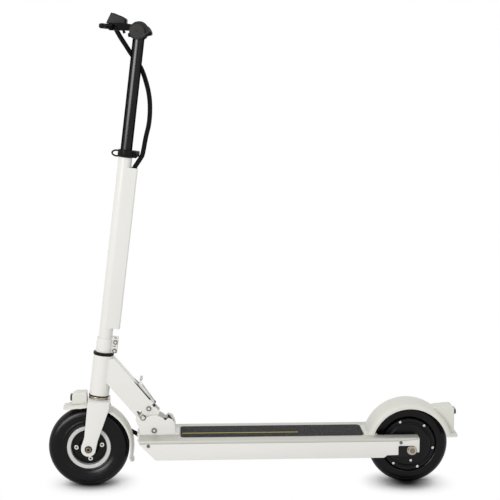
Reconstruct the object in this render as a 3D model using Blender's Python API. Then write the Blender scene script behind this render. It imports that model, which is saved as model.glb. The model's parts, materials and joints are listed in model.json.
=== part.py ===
"""Folding electric scooter with a telescopic bar post, built from separate pieces.

The front of the scooter points to -X and its left side to -Y. All the lists below are in
millimetres, measured from the ground under the front axle; the origin of the finished model is on
the ground in the middle of the overall length. Pieces of the mast and the bar post are drawn in
the stem frame instead, whose Z runs up the steering axis.
"""
import bpy
import bmesh
from math import sin, cos, tan, pi, radians, degrees, atan2, hypot
from mathutils import Matrix, Vector

for old in list(bpy.data.objects):
    bpy.data.objects.remove(old, do_unlink=True)

MM = 0.001
GAP = 0.3                      # clearance between neighbouring pieces

# Wheels
WHEEL_R = 100.0
TYRE_W = 48.0
WHEELBASE = 797.0
AXLE_R = 6.0
FRONT_AXLE = (0.0, WHEEL_R)
REAR_AXLE = (WHEELBASE, WHEEL_R)
FRONT_END = -100.0             # foremost point, the front tyre
REAR_END = WHEELBASE + 124.0   # rearmost point, the lip of the rear fender
MID = (FRONT_END + REAR_END) / 2.0

# Fenders and fork
FRONT_FENDER_R = WHEEL_R + 12.0
REAR_FENDER_R = WHEEL_R + 10.0
FORK_HALF = (35.0, 42.0)

# Steering axis, from the fork crown up: race, lower cup, head tube, upper cup, collar, mast
LEAN = radians(6.9)
FOOT_X = -2.0                  # where the steering axis meets the ground
CROWN_TOP = WHEEL_R + FRONT_FENDER_R + 10.0
RACE_HEIGHT = 3.2
LOWER_CUP_HEIGHT = 5.6
HEAD_LENGTH = 100.7
UPPER_CUP_HEIGHT = 7.0
COLLAR_HEIGHT = 40.7
MAST_LENGTH = 500.7
RACE = (CROWN_TOP + GAP, CROWN_TOP + GAP + RACE_HEIGHT)
LOWER_CUP = (RACE[1] + GAP, RACE[1] + GAP + LOWER_CUP_HEIGHT)
HEAD_SPAN = (LOWER_CUP[1] + GAP, LOWER_CUP[1] + GAP + HEAD_LENGTH)
UPPER_CUP = (HEAD_SPAN[1] + GAP, HEAD_SPAN[1] + GAP + UPPER_CUP_HEIGHT)
MAST_BOTTOM = UPPER_CUP[1] + 2 * GAP
MAST_TOP = MAST_BOTTOM + MAST_LENGTH
COLLAR_TOP = MAST_BOTTOM + COLLAR_HEIGHT
STEERER_R = 14.3
MAST_R = 17.0
MAST_BORE = 14.6
CHANNEL_BACK = 33.0            # rear face of the cable channel, behind the axis
CHANNEL_HALF = 13.0
CHANNEL_SPAN = (COLLAR_TOP + 21.0, MAST_TOP - 40.0)
POST_R = 14.3
POST_BOTTOM = MAST_TOP - 111.0
POST_TOP = 1112.0

# Handlebar
BAR = (133.4, 1119.0)
BAR_R = 11.1
BAR_HALF = 228.0
GRIP_END = BAR_HALF + 4.0
GRIP_LENGTH = 120.0
GRIP_INNER = GRIP_END - GRIP_LENGTH
BRAKE_PIN = GRIP_INNER - 16.0  # how far the brake lever's pin is from the middle

# Down tube, in its own frame: along the slope from the head tube, and square to it
SLOPE = radians(49.5)
TUBE_START = (64.0, 323.0)
TUBE_DEPTH = 54.0
TUBE_HALF = 20.0
TUBE_WALL = 3.0
HEAD_R = 24.5

# Fold joint and its latch
FOLD = (162.0, 144.0)
LEVER_PIVOT = (149.0, 197.0)
PIN_R = 5.0
CHEEK = (26.0, 31.0)

# Deck
DECK_HALF = 84.5
DECK_TOP = 131.0
DECK_BELLY = 82.0
PLATE_T = 5.2
SHEET = 3.0
WELL_HALF = 50.0
BULKHEAD = WHEELBASE - 122.0   # closes the hold in front of the rear wheel
REAR_STOP = WHEELBASE + 18.0   # end of the two rear arms

COLOURS = {
    "white_paint": ((233, 232, 227), 0.35, 0.0),
    "cream_plastic": ((222, 221, 210), 0.45, 0.0),
    "silver_plate": ((190, 190, 188), 0.42, 0.7),
    "bright_steel": ((200, 200, 198), 0.25, 1.0),
    "black_gloss": ((14, 14, 15), 0.12, 0.3),
    "black_matte": ((32, 32, 34), 0.6, 0.0),
    "black_steel": ((40, 40, 42), 0.4, 0.8),
    "black_rubber": ((18, 18, 19), 0.5, 0.0),
    "grip_rubber": ((34, 34, 35), 0.75, 0.0),
    "dark_grit": ((44, 44, 46), 0.9, 0.0),
    "screen_glass": ((10, 11, 13), 0.08, 0.0),
    "clear_lens": ((52, 55, 60), 0.1, 0.0),
    "red_lens": ((70, 10, 12), 0.2, 0.0),
    "grey_plastic": ((120, 121, 123), 0.5, 0.0),
    "battery_wrap": ((40, 70, 110), 0.5, 0.0),
}


def linear(value):
    v = value / 255.0
    return v / 12.92 if v <= 0.04045 else ((v + 0.055) / 1.055) ** 2.4


def material(name):
    if name in bpy.data.materials:
        return bpy.data.materials[name]
    rgb, roughness, metallic = COLOURS[name]
    mat = bpy.data.materials.new(name)
    mat.use_nodes = True
    shader = mat.node_tree.nodes["Principled BSDF"]
    shader.inputs["Base Color"].default_value = [linear(c) for c in rgb] + [1.0]
    shader.inputs["Roughness"].default_value = roughness
    shader.inputs["Metallic"].default_value = metallic
    mat.diffuse_color = [linear(c) for c in rgb] + [1.0]
    return mat


# Drawing frames: millimetre lists become metres through these
SIDE = Matrix.Translation((-MID * MM, 0.0, 0.0))
STEM = SIDE @ Matrix.Translation((FOOT_X * MM, 0.0, 0.0)) @ Matrix.Rotation(LEAN, 4, "Y")


def at(x, z, y=0.0):
    return SIDE @ Matrix.Translation((x * MM, y * MM, z * MM))


def stem_at(s, u=0.0, y=0.0):
    return STEM @ Matrix.Translation((u * MM, y * MM, s * MM))


def tube_point(t, n):
    """Point of the down tube's frame in the side view."""
    return (TUBE_START[0] + t * cos(SLOPE) + n * sin(SLOPE),
            TUBE_START[1] - t * sin(SLOPE) + n * cos(SLOPE))


# Every moving body hangs on an empty that sits on its joint's axis
PIVOTS = {}


def pivot(name, world, parent=None):
    empty = bpy.data.objects.new("pivot_" + name, None)
    bpy.context.scene.collection.objects.link(empty)
    empty.empty_display_size = 0.04
    local = world
    if parent:
        empty.parent = PIVOTS[parent][0]
        local = PIVOTS[parent][1].inverted() @ world
    place, turn, _ = local.decompose()
    empty.location = place
    empty.rotation_euler = turn.to_euler()
    PIVOTS[name] = (empty, world)


pivot("deck", Matrix.Identity(4))
pivot("front_frame", at(*FOLD), "deck")
pivot("release_lever", at(*LEVER_PIVOT), "front_frame")
pivot("steering", stem_at(0.0), "front_frame")
pivot("height_post", stem_at(MAST_TOP), "steering")
pivot("quick_release", stem_at(MAST_TOP - 7.0, 28.5, 15.5), "steering")
pivot("brake_lever", at(73.0, 1130.6, -BRAKE_PIN), "height_post")
pivot("throttle", at(BAR[0], BAR[1], GRIP_INNER - 12.0), "height_post")
pivot("display_button", at(103.4, 1146.0), "height_post")
pivot("front_wheel", at(*FRONT_AXLE), "steering")
pivot("rear_wheel", at(*REAR_AXLE), "deck")


def rounded(points, seg=4):
    """Outline whose corners (x, z, radius) are rounded by arcs."""
    out = []
    count = len(points)
    for i, corner in enumerate(points):
        if len(corner) == 2 or corner[2] <= 0:
            out.append((corner[0], corner[1]))
            continue
        c = Vector(corner[:2])
        a = (Vector(points[i - 1][:2]) - c).normalized()
        b = (Vector(points[(i + 1) % count][:2]) - c).normalized()
        half = a.angle(b) / 2.0
        reach = corner[2] / tan(half)
        centre = c + (a + b).normalized() * (corner[2] / sin(half))
        first, last = c + a * reach, c + b * reach
        start = atan2(first.y - centre.y, first.x - centre.x)
        sweep = atan2(last.y - centre.y, last.x - centre.x) - start
        sweep = (sweep + pi) % (2 * pi) - pi
        for k in range(seg + 1):
            angle = start + sweep * k / seg
            out.append((centre.x + corner[2] * cos(angle), centre.y + corner[2] * sin(angle)))
    return out


def arc(centre, radius, first, last, seg):
    """Points on an arc, angles in degrees from +X towards +Z."""
    angles = [radians(first + (last - first) * k / seg) for k in range(seg + 1)]
    return [(centre[0] + radius * cos(a), centre[1] + radius * sin(a)) for a in angles]


def piece(name, verts, faces, paint, body, frame=SIDE, smooth=32.0):
    """Mesh object from millimetre points, hung on its body; no paint makes it a cutter."""
    empty, world = PIVOTS[body]
    turn = world.inverted() @ frame
    mesh = bpy.data.meshes.new(name)
    mesh.from_pydata([turn @ (Vector(v) * MM) for v in verts], [], faces)
    bm = bmesh.new()
    bm.from_mesh(mesh)
    bmesh.ops.recalc_face_normals(bm, faces=bm.faces)
    bm.to_mesh(mesh)
    bm.free()
    mesh.shade_smooth()
    mesh.set_sharp_from_angle(angle=radians(smooth))
    obj = bpy.data.objects.new(name, mesh)
    bpy.context.scene.collection.objects.link(obj)
    obj.parent = empty
    if paint:
        mesh.materials.append(material(paint))
    else:
        obj.hide_render = True
        obj.display_type = "WIRE"
    return obj


def loft(name, rings, paint, body, frame=SIDE, smooth=32.0):
    """Skin over rings of equal length, closed at both ends."""
    n = len(rings[0])
    verts = [p for ring in rings for p in ring]
    faces = [[k * n + i, k * n + (i + 1) % n, (k + 1) * n + (i + 1) % n, (k + 1) * n + i]
             for k in range(len(rings) - 1) for i in range(n)]
    faces.append(list(range(n)))
    faces.append([(len(rings) - 1) * n + i for i in range(n)])
    return piece(name, verts, faces, paint, body, frame, smooth)


def slab(name, outline, low, high, paint, body, frame=SIDE, across="Y", smooth=32.0):
    """Outline pushed along one axis: Y for a side view, Z for a plan, X for a cross-section."""
    if across == "Y":
        rings = [[(a, level, b) for a, b in outline] for level in (low, high)]
    elif across == "Z":
        rings = [[(a, b, level) for a, b in outline] for level in (low, high)]
    else:
        rings = [[(level, a, b) for a, b in outline] for level in (low, high)]
    return loft(name, rings, paint, body, frame, smooth)


def box(name, x, y, z, paint, body, frame=SIDE):
    return slab(name, [(x[0], z[0]), (x[1], z[0]), (x[1], z[1]), (x[0], z[1])], y[0], y[1],
                paint, body, frame)


def turned(name, profile, paint, body, frame, steps=20, axis="Y", smooth=32.0):
    """Body of revolution: profile of (radius, distance along the axis), closed on itself."""
    verts, rows = [], []
    for radius, along in profile:
        row = []
        for k in range(1 if radius == 0 else steps):
            angle = 2 * pi * k / steps
            a, b = radius * cos(angle), radius * sin(angle)
            verts.append((a, along, b) if axis == "Y" else (a, b, along))
            row.append(len(verts) - 1)
        rows.append(row)
    faces = []
    for i in range(len(rows)):
        one, two = rows[i], rows[(i + 1) % len(rows)]
        if len(one) == 1 and len(two) == 1:
            continue
        for k in range(steps):
            m = (k + 1) % steps
            if len(one) == 1:
                faces.append([one[0], two[k], two[m]])
            elif len(two) == 1:
                faces.append([one[k], two[0], one[m]])
            else:
                faces.append([one[k], two[k], two[m], one[m]])
    return piece(name, verts, faces, paint, body, frame, smooth)


def rod(name, radius, low, high, paint, body, frame, steps=18, axis="Y"):
    return turned(name, [(0, low), (radius, low), (radius, high), (0, high)], paint, body, frame,
                  steps, axis)


def ring(name, inner, outer, low, high, paint, body, frame, steps=32, axis="Y", edge=0.0):
    profile = [(inner, low), (outer - edge, low), (outer, low + edge), (outer, high - edge),
               (outer - edge, high), (inner, high)]
    if edge == 0.0:
        profile = [(inner, low), (outer, low), (outer, high), (inner, high)]
    return turned(name, profile, paint, body, frame, steps, axis)


def boolean(obj, tool, operation):
    mod = obj.modifiers.new(tool.name, "BOOLEAN")
    mod.operation = operation
    mod.object = tool
    return obj


def cut(obj, *tools):
    for tool in tools:
        boolean(obj, tool, "DIFFERENCE")
    return obj


def add(obj, *tools):
    for tool in tools:
        boolean(obj, tool, "UNION")
    return obj


def spline(points, every):
    """Even points along a smooth curve through the given ones."""
    pts = [Vector(p) for p in points]
    pts = [2 * pts[0] - pts[1]] + pts + [2 * pts[-1] - pts[-2]]
    fine = []
    for i in range(1, len(pts) - 2):
        p0, p1, p2, p3 = pts[i - 1:i + 3]
        for k in range(12):
            t = k / 12.0
            fine.append(0.5 * ((2 * p1) + (p2 - p0) * t + (2 * p0 - 5 * p1 + 4 * p2 - p3) * t * t
                               + (3 * p1 - p0 - 3 * p2 + p3) * t ** 3))
    fine.append(pts[-2])
    length = sum((b - a).length for a, b in zip(fine, fine[1:]))
    count = max(2, round(length / every))
    out, target, walked = [fine[0]], length / count, 0.0
    for a, b in zip(fine, fine[1:]):
        step = (b - a).length
        while len(out) < count and walked + step >= target * len(out):
            out.append(a.lerp(b, (target * len(out) - walked) / step))
        walked += step
    out.append(fine[-1])
    return out


def loom(name, points, radius, paint, body, frame=SIDE, every=22.0):
    """Round cable along a smooth route."""
    empty, world = PIVOTS[body]
    turn = world.inverted() @ frame
    curve = bpy.data.curves.new(name, "CURVE")
    curve.dimensions = "3D"
    curve.bevel_depth = radius * MM
    curve.bevel_resolution = 2
    curve.use_fill_caps = True
    curve.resolution_u = 1
    line = curve.splines.new("POLY")
    route = spline(points, every)
    line.points.add(len(route) - 1)
    for point, place in zip(line.points, route):
        point.co = (*(turn @ (place * MM)), 1.0)
    curve.materials.append(material(paint))
    obj = bpy.data.objects.new(name, curve)
    bpy.context.scene.collection.objects.link(obj)
    obj.parent = empty
    return obj


def hexagon(name, across_flats, bore, low, high, paint, body, frame):
    """Hexagon nut round the Y axis with a clear bore."""
    r = across_flats / 2.0 / cos(pi / 6)
    flat = [(r * cos(pi / 3 * k), r * sin(pi / 3 * k)) for k in range(6)]
    nut = slab(name, flat, low, high, paint, body, frame)
    return cut(nut, rod("cut_" + name, bore, low - 2, high + 2, None, body, frame, 24))


# The deck: tray, running board, tape and what the tray holds
def make_deck():
    axle, stop = REAR_AXLE[0], REAR_STOP
    side = [(125.0, 125.5), (166.0, DECK_BELLY, 6.0), (axle - 69.0, DECK_BELLY),
            (axle - 62.0, 88.0), (axle - 34.0, 88.5), (axle - 34.0, 111.5)]
    side = rounded(side) + arc(REAR_AXLE, 11.5, 90.0, 0.0, 6)
    side += rounded([(stop - 6.5, 96.0), (stop - 3.5, 93.5, 1.5), (stop, 96.0), (stop, 125.5)], 3)
    tray = slab("deck_tray", side, -DECK_HALF, DECK_HALF, "white_paint", "deck")
    inner = DECK_HALF - SHEET
    hold = [(129.5, 140.0), (129.5, 125.5), (167.5, DECK_BELLY + SHEET),
            (BULKHEAD, DECK_BELLY + SHEET), (BULKHEAD, 140.0)]
    arm = [(BULKHEAD + SHEET, 140.0), (BULKHEAD + SHEET, DECK_BELLY + SHEET),
           (axle - 69.0, DECK_BELLY + SHEET), (axle - 64.0, 91.5), (axle - 55.0, 92.0),
           (axle - 55.0, 70.0), (stop - 2.7, 70.0), (stop - 2.7, 140.0)]
    cut(tray,
        slab("cut_tray_hold", hold, -inner, inner, None, "deck"),
        box("cut_tray_well", (BULKHEAD + SHEET, stop + 15.0), (-WELL_HALF, WELL_HALF),
            (60.0, 150.0), None, "deck"),
        slab("cut_tray_arm_left", arm, -inner, -WELL_HALF - SHEET, None, "deck"),
        slab("cut_tray_arm_right", arm, WELL_HALF + SHEET, inner, None, "deck"),
        rod("cut_tray_port", 11.3, inner - 3.5, inner + 8.5, None, "deck", at(215.0, 104.0)))

    low = DECK_TOP - PLATE_T
    rail = rounded([(-DECK_HALF, low), (DECK_HALF, low), (DECK_HALF, DECK_TOP, 3.6),
                    (-DECK_HALF, DECK_TOP, 3.6)], 4)
    plate = slab("deck_plate", rail, 128.0, REAR_STOP, "silver_plate", "deck", across="X")
    cut(plate, box("cut_plate_well", (BULKHEAD + 17.0, stop + 15.0), (-WELL_HALF, WELL_HALF),
                   (100.0, 150.0), None, "deck"))
    end, half = BULKHEAD + 7.0, DECK_HALF - 32.5
    tape = rounded([(227.0, -half, 8.0), (end, -half, 8.0), (end, half, 8.0), (227.0, half, 8.0)])
    slab("grip_tape", tape, DECK_TOP + GAP, DECK_TOP + GAP + 1.0, "dark_grit", "deck", across="Z")
    low, high, half = DECK_BELLY + SHEET + 0.4, 121.0, DECK_HALF - 18.5
    pack = rounded([(-half, low, 5.0), (half, low, 5.0), (half, high, 5.0), (-half, high, 5.0)])
    slab("battery_pack", pack, 235.0, BULKHEAD - 85.0, "battery_wrap", "deck", across="X")
    box("controller", (BULKHEAD - 71.0, BULKHEAD - 7.0), (-42.0, 42.0), (low, 112.0),
        "black_matte", "deck")
    port = [(0, -5.5), (13.5, -5.5), (13.5, -GAP), (11.0, -GAP), (11.0, 4.5), (8.0, 4.5),
            (8.0, 0.5), (0, 0.5)]
    turned("charge_port", [(r, inner + y) for r, y in port], "black_matte", "deck",
           at(215.0, 104.0))


# The fold bracket on the nose of the deck: two cheeks with a horn before and behind the pin
def make_bracket():
    horn = [(FOLD[0] + r * cos(radians(a)), FOLD[1] + r * sin(radians(a)))
            for r, a in ((53.0, 138.5), (36.7, 138.5))]
    fang = [(FOLD[0] + r * cos(radians(a)), FOLD[1] + r * sin(radians(a)))
            for r, a in ((36.7, 40.0), (46.5, 41.5))]
    outline = [(120.0, DECK_TOP + GAP), (120.0, 134.3), (126.0, 134.3), (125.0, 150.0),
               (116.0, 171.0), (117.5, 176.0), horn[0]]
    outline += [horn[1]] + arc(FOLD, 36.7, 138.5, 40.0, 12)[1:-1] + [fang[0], fang[1]]
    outline += [(208.0, 170.0), (213.0, 160.0), (215.0, 150.0), (215.0, 134.3), (224.0, 134.3),
                (224.0, DECK_TOP + GAP)]
    bracket = slab("fold_bracket", outline, -CHEEK[1], CHEEK[1], "white_paint", "deck")
    cut(bracket,
        box("cut_bracket_gap", (100.0, 240.0), (-CHEEK[0], CHEEK[0]), (134.3, 200.0), None, "deck"),
        rod("cut_bracket_bore", 4.3, -40.0, 40.0, None, "deck", at(*FOLD)))
    turned("fold_pivot_bolt", [(0, -35.0), (8.0, -35.0), (8.0, -31.3), (4.0, -31.3),
                               (4.0, 31.3), (8.0, 31.3), (8.0, 35.0), (0, 35.0)],
           "bright_steel", "deck", at(*FOLD), 16)


# Rear fender with its tail light, the dropouts and the axle
def make_rear():
    outer = [(48.0, -15.5), (47.5, -9.5), (44.4, -5.4), (38.3, -2.5), (28.0, -0.7), (0.0, 0.0)]
    inner = [(45.6, -15.5), (45.1, -10.3), (42.4, -7.3), (37.2, -4.8), (27.6, -3.1), (0.0, -2.4)]
    outer, inner = [[(y, REAR_FENDER_R + r) for y, r in row] for row in (outer, inner)]
    shell = outer + [(-y, r) for y, r in reversed(outer[:-1])]
    shell += [(-y, r) for y, r in inner] + list(reversed(inner[:-1]))
    rings = []
    angles = [-77.0 + k * 153.3 / 20 for k in range(21)]
    for a in angles + [77.8, 79.3]:
        lift = 0.0 if a <= 76.4 else (a - 76.3) * 16.19 / 3.0
        s, c = sin(radians(a)), cos(radians(a))
        rings.append([(REAR_AXLE[0] + (r + lift) * s, y, REAR_AXLE[1] + (r + lift) * c)
                      for y, r in shell])
    fender = loft("rear_fender", rings, "cream_plastic", "deck")
    # the skirts stop short over the arms of the running board, and a foot rests on it in front
    axle = REAR_AXLE[0]
    box_low = (axle - 157.0, axle - 82.0), (-60.0, 60.0), (60.0, DECK_TOP + GAP)
    cut(fender, box("cut_fender_front", *box_low, None, "deck"),
        box("cut_fender_rear", (axle + 96.0, axle + 143.0), (-60.0, 60.0), (60.0, 122.0), None,
            "deck"))

    end, top = axle + 114.5, WHEEL_R + 95.7
    housing = arc(REAR_AXLE, REAR_FENDER_R + 0.4, 14.0, 56.0, 10)
    housing += rounded([(end - 46.0, top - 2.9), (end - 5.5, top, 4.0), (end, top - 6.0, 3.0),
                        (end, top - 66.0)])
    slab("tail_light_housing", housing, -24.0, 24.0, "cream_plastic", "deck")
    lens = rounded([(-19.0, top - 22.0, 5.0), (19.0, top - 22.0, 5.0), (19.0, top - 9.5, 5.0),
                    (-19.0, top - 9.5, 5.0)])
    slab("tail_light_lens", lens, end + GAP, end + 6.0, "red_lens", "deck", across="X")

    drop = rounded([(axle - 52.0, 84.0, 5.0), (axle + 9.0, 84.0, 5.0), (axle + 14.9, 92.0, 5.0),
                    (axle + 14.9, 124.0, 3.0), (axle - 52.0, 124.0, 3.0)])
    inner = DECK_HALF - SHEET
    for side, sign in (("left", -1.0), ("right", 1.0)):
        low, high = sorted((sign * (inner - GAP - 6.0), sign * (inner - GAP)))
        plate = slab("dropout_" + side, drop, low, high, "black_steel", "deck")
        cut(plate, rod("cut_dropout_" + side, AXLE_R + GAP, low - 2, high + 2, None, "deck",
                       at(*REAR_AXLE)))
        low, high = sorted((sign * inner, sign * (inner + 8.5)))
        hexagon("axle_nut_" + side, 19.0, AXLE_R + GAP, low, high, "bright_steel", "deck",
                at(*REAR_AXLE))
    rod("rear_axle", AXLE_R, -inner - 11.5, inner + 11.5, "bright_steel", "deck", at(*REAR_AXLE))
    ring("motor_stator", AXLE_R + GAP, 52.0, -14.0, 16.0, "bright_steel", "deck", at(*REAR_AXLE))


# Solid tyre about the Y axis, rounded tread and shoulders
def tyre(name, bore, body, frame):
    half = TYRE_W / 2.0
    profile = [(bore, -18.0), (bore + 5.0, -22.0), (83.0, -half), (92.0, -21.8), (97.3, -15.5),
               (WHEEL_R, -5.0), (WHEEL_R, 5.0), (97.3, 15.5), (92.0, 21.8), (83.0, half),
               (bore + 5.0, 22.0), (bore, 18.0)]
    return turned(name, profile, "black_rubber", body, frame, 48, smooth=40.0)


# Front wheel: tyre, light rim with hub, two bearings; rear wheel: tyre and hub motor
def make_wheels():
    front, rear = at(*FRONT_AXLE), at(*REAR_AXLE)
    tyre("front_tyre", 57.8, "front_wheel", front)
    half = [(8.4, -9.7), (13.3, -9.7), (13.3, -22.0), (18.0, -22.0), (44.0, -16.5), (46.5, -21.0),
            (56.5, -21.0), (57.5, -19.5)]
    turned("front_rim", half + [(r, -y) for r, y in reversed(half)], "bright_steel",
           "front_wheel", front, 40)
    for side, low, high in (("left", -20.0, -10.0), ("right", 10.0, 20.0)):
        ring("front_bearing_" + side, AXLE_R + GAP, 13.0, low, high, "bright_steel",
             "front_wheel", front, 24)
    tyre("rear_tyre", 66.3, "rear_wheel", rear)
    hub = AXLE_R + GAP
    shell = [(60.0, -23.4), (66.0, -23.4), (66.0, 26.0), (64.0, 28.0), (54.0, 28.0), (51.0, 31.5),
             (hub, 33.0), (hub, 22.0), (60.0, 22.0)]
    turned("motor_shell", shell, "black_steel", "rear_wheel", rear, 40)
    cover = [(hub, -33.0), (51.0, -31.5), (54.0, -28.0), (64.0, -28.0), (66.0, -26.4),
             (66.0, -23.7), (hub, -23.7)]
    turned("motor_cover", cover, "black_steel", "rear_wheel", rear, 40)


# Front frame: head tube and down tube with its pivot tube, headset cups and bearings
def make_front_frame():
    end = arc((199.7, -41.7), 9.0, 55.0, -125.0, 8)
    sloped = [(152.0, 0.0), (165.0, -8.0)] + end + [(193.0, -49.0), (150.0, -TUBE_DEPTH)]
    outline = [TUBE_START] + [tube_point(t, n) for t, n in sloped]
    outline += [(31.6, 277.8), (36.5, 318.0)]
    frame = slab("head_frame", outline, -TUBE_HALF, TUBE_HALF, "white_paint", "front_frame")
    hollow = [(30.0, -3.0), (128.0, -3.0), (128.0, 10.0), (187.0, 10.0), (187.0, -60.0),
              (152.0, -60.0), (152.0, -51.0), (30.0, -51.0)]
    hollow = [tube_point(t, n) for t, n in hollow]
    inside = TUBE_HALF - TUBE_WALL
    angle = degrees(atan2(176.0 - 197.0, 135.0 - 149.0)) % 360
    radius = hypot(14.0, 21.0)
    slot = arc(LEVER_PIVOT, radius + 5.6, angle - 43.0, angle + 13.0, 6)
    slot += list(reversed(arc(LEVER_PIVOT, radius - 5.6, angle - 43.0, angle + 13.0, 5)))
    cut(frame, slab("cut_frame_hollow", hollow, -inside, inside, None, "front_frame"))
    add(frame,
        rod("add_head_tube", HEAD_R, HEAD_SPAN[0], HEAD_SPAN[1], None, "front_frame", STEM, 40,
            "Z"),
        rod("add_pivot_tube", 8.6, -25.7, 25.7, None, "front_frame", at(*FOLD), 20))
    low, high = HEAD_SPAN
    seat = [(0, low - 30.0), (20.3, low - 30.0), (20.3, low + 10.3), (16.5, low + 10.3),
            (16.5, high - 10.3), (20.3, high - 10.3), (20.3, high + 30.0), (0, high + 30.0)]
    cut(frame,
        turned("cut_head_bore", seat, None, "front_frame", STEM, 28, "Z"),
        rod("cut_pivot_bore", 4.3, -30.0, 30.0, None, "front_frame", at(*FOLD), 16),
        rod("cut_lever_bore", 4.3, -30.0, 30.0, None, "front_frame", at(*LEVER_PIVOT), 16),
        slab("cut_latch_slot", slot, -24.0, 24.0, None, "front_frame"))
    ring("upper_headset_cup", STEERER_R + GAP, HEAD_R + 1.0, *UPPER_CUP, "black_matte",
         "front_frame", STEM, 32, "Z", 1.2)
    ring("lower_headset_cup", STEERER_R + GAP, HEAD_R + 1.0, *LOWER_CUP, "black_matte",
         "front_frame", STEM, 32, "Z", 1.2)
    ring("upper_bearing", STEERER_R + GAP, 20.0, high - 10.0, high - GAP, "bright_steel",
         "front_frame", STEM, 24, "Z")
    ring("lower_bearing", STEERER_R + GAP, 20.0, low + GAP, low + 10.0, "bright_steel",
         "front_frame", STEM, 24, "Z")
    turned("lever_pivot_bolt", [(0, -24.7), (7.5, -24.7), (7.5, -20.3), (4.0, -20.3),
                                (4.0, 20.3), (7.5, 20.3), (7.5, 24.7), (0, 24.7)],
           "bright_steel", "front_frame", at(*LEVER_PIVOT), 16)
    loom("lower_loom", [(31, 25.3, 244), (31, 32, 244), (33.5, 41, 239.5), (37.5, 48, 230.5),
                        (41, 51.5, 216), (44, 52, 200), (49, 50.5, 184), (57, 47.5, 169),
                        (68, 45, 155), (81, 42.5, 142.5), (92, 41.3, 133), (101, 41, 126.5),
                        (106.5, 40.3, 123.3), (112.5, 37.5, 121), (118.0, 30, 119.8),
                        (121.4, 21.5, 119.5), (123.5, 12.5, 119.3)], 5.0, "black_rubber",
         "front_frame", every=14.0)


# Release lever: a U that lies on the down tube and carries the latch pin
def make_release_lever():
    shape = [(150.0, -44.5), (142.0, -18.0), (139.5, 1.2), (91.0, 1.5), (82.5, 12.3),
             (87.5, 14.5), (94.0, 7.5), (146.0, 2.8), (153.0, 0.0), (158.0, -6.0),
             (160.3, -17.0), (165.8, -40.0), (163.0, -47.6), (157.5, -49.4), (152.0, -47.8)]
    lever = slab("release_lever", [tube_point(t, n) for t, n in shape], -15.0, 15.0,
                 "white_paint", "release_lever")
    window = [tube_point(t, n) for t, n in ((98.0, 12.0), (175.0, 12.0), (175.0, -60.0),
                                            (98.0, -60.0))]
    cut(lever, slab("cut_lever_window", window, -9.0, 9.0, None, "release_lever"),
        rod("cut_lever_hub", 4.3, -20.0, 20.0, None, "release_lever", at(*LEVER_PIVOT)),
        rod("cut_lever_pin", PIN_R + GAP, -20.0, 20.0, None, "release_lever", at(135.0, 176.0)))
    rod("latch_pin", PIN_R, -33.0, 33.0, "bright_steel", "release_lever", at(135.0, 176.0))
    tip = [(82.0, 12.9), (79.6, 16.2), (82.5, 20.2), (86.5, 18.8), (87.4, 15.1)]
    slab("lever_tip", [tube_point(t, n) for t, n in tip], -15.0, 15.0, "grey_plastic",
         "release_lever")


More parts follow.
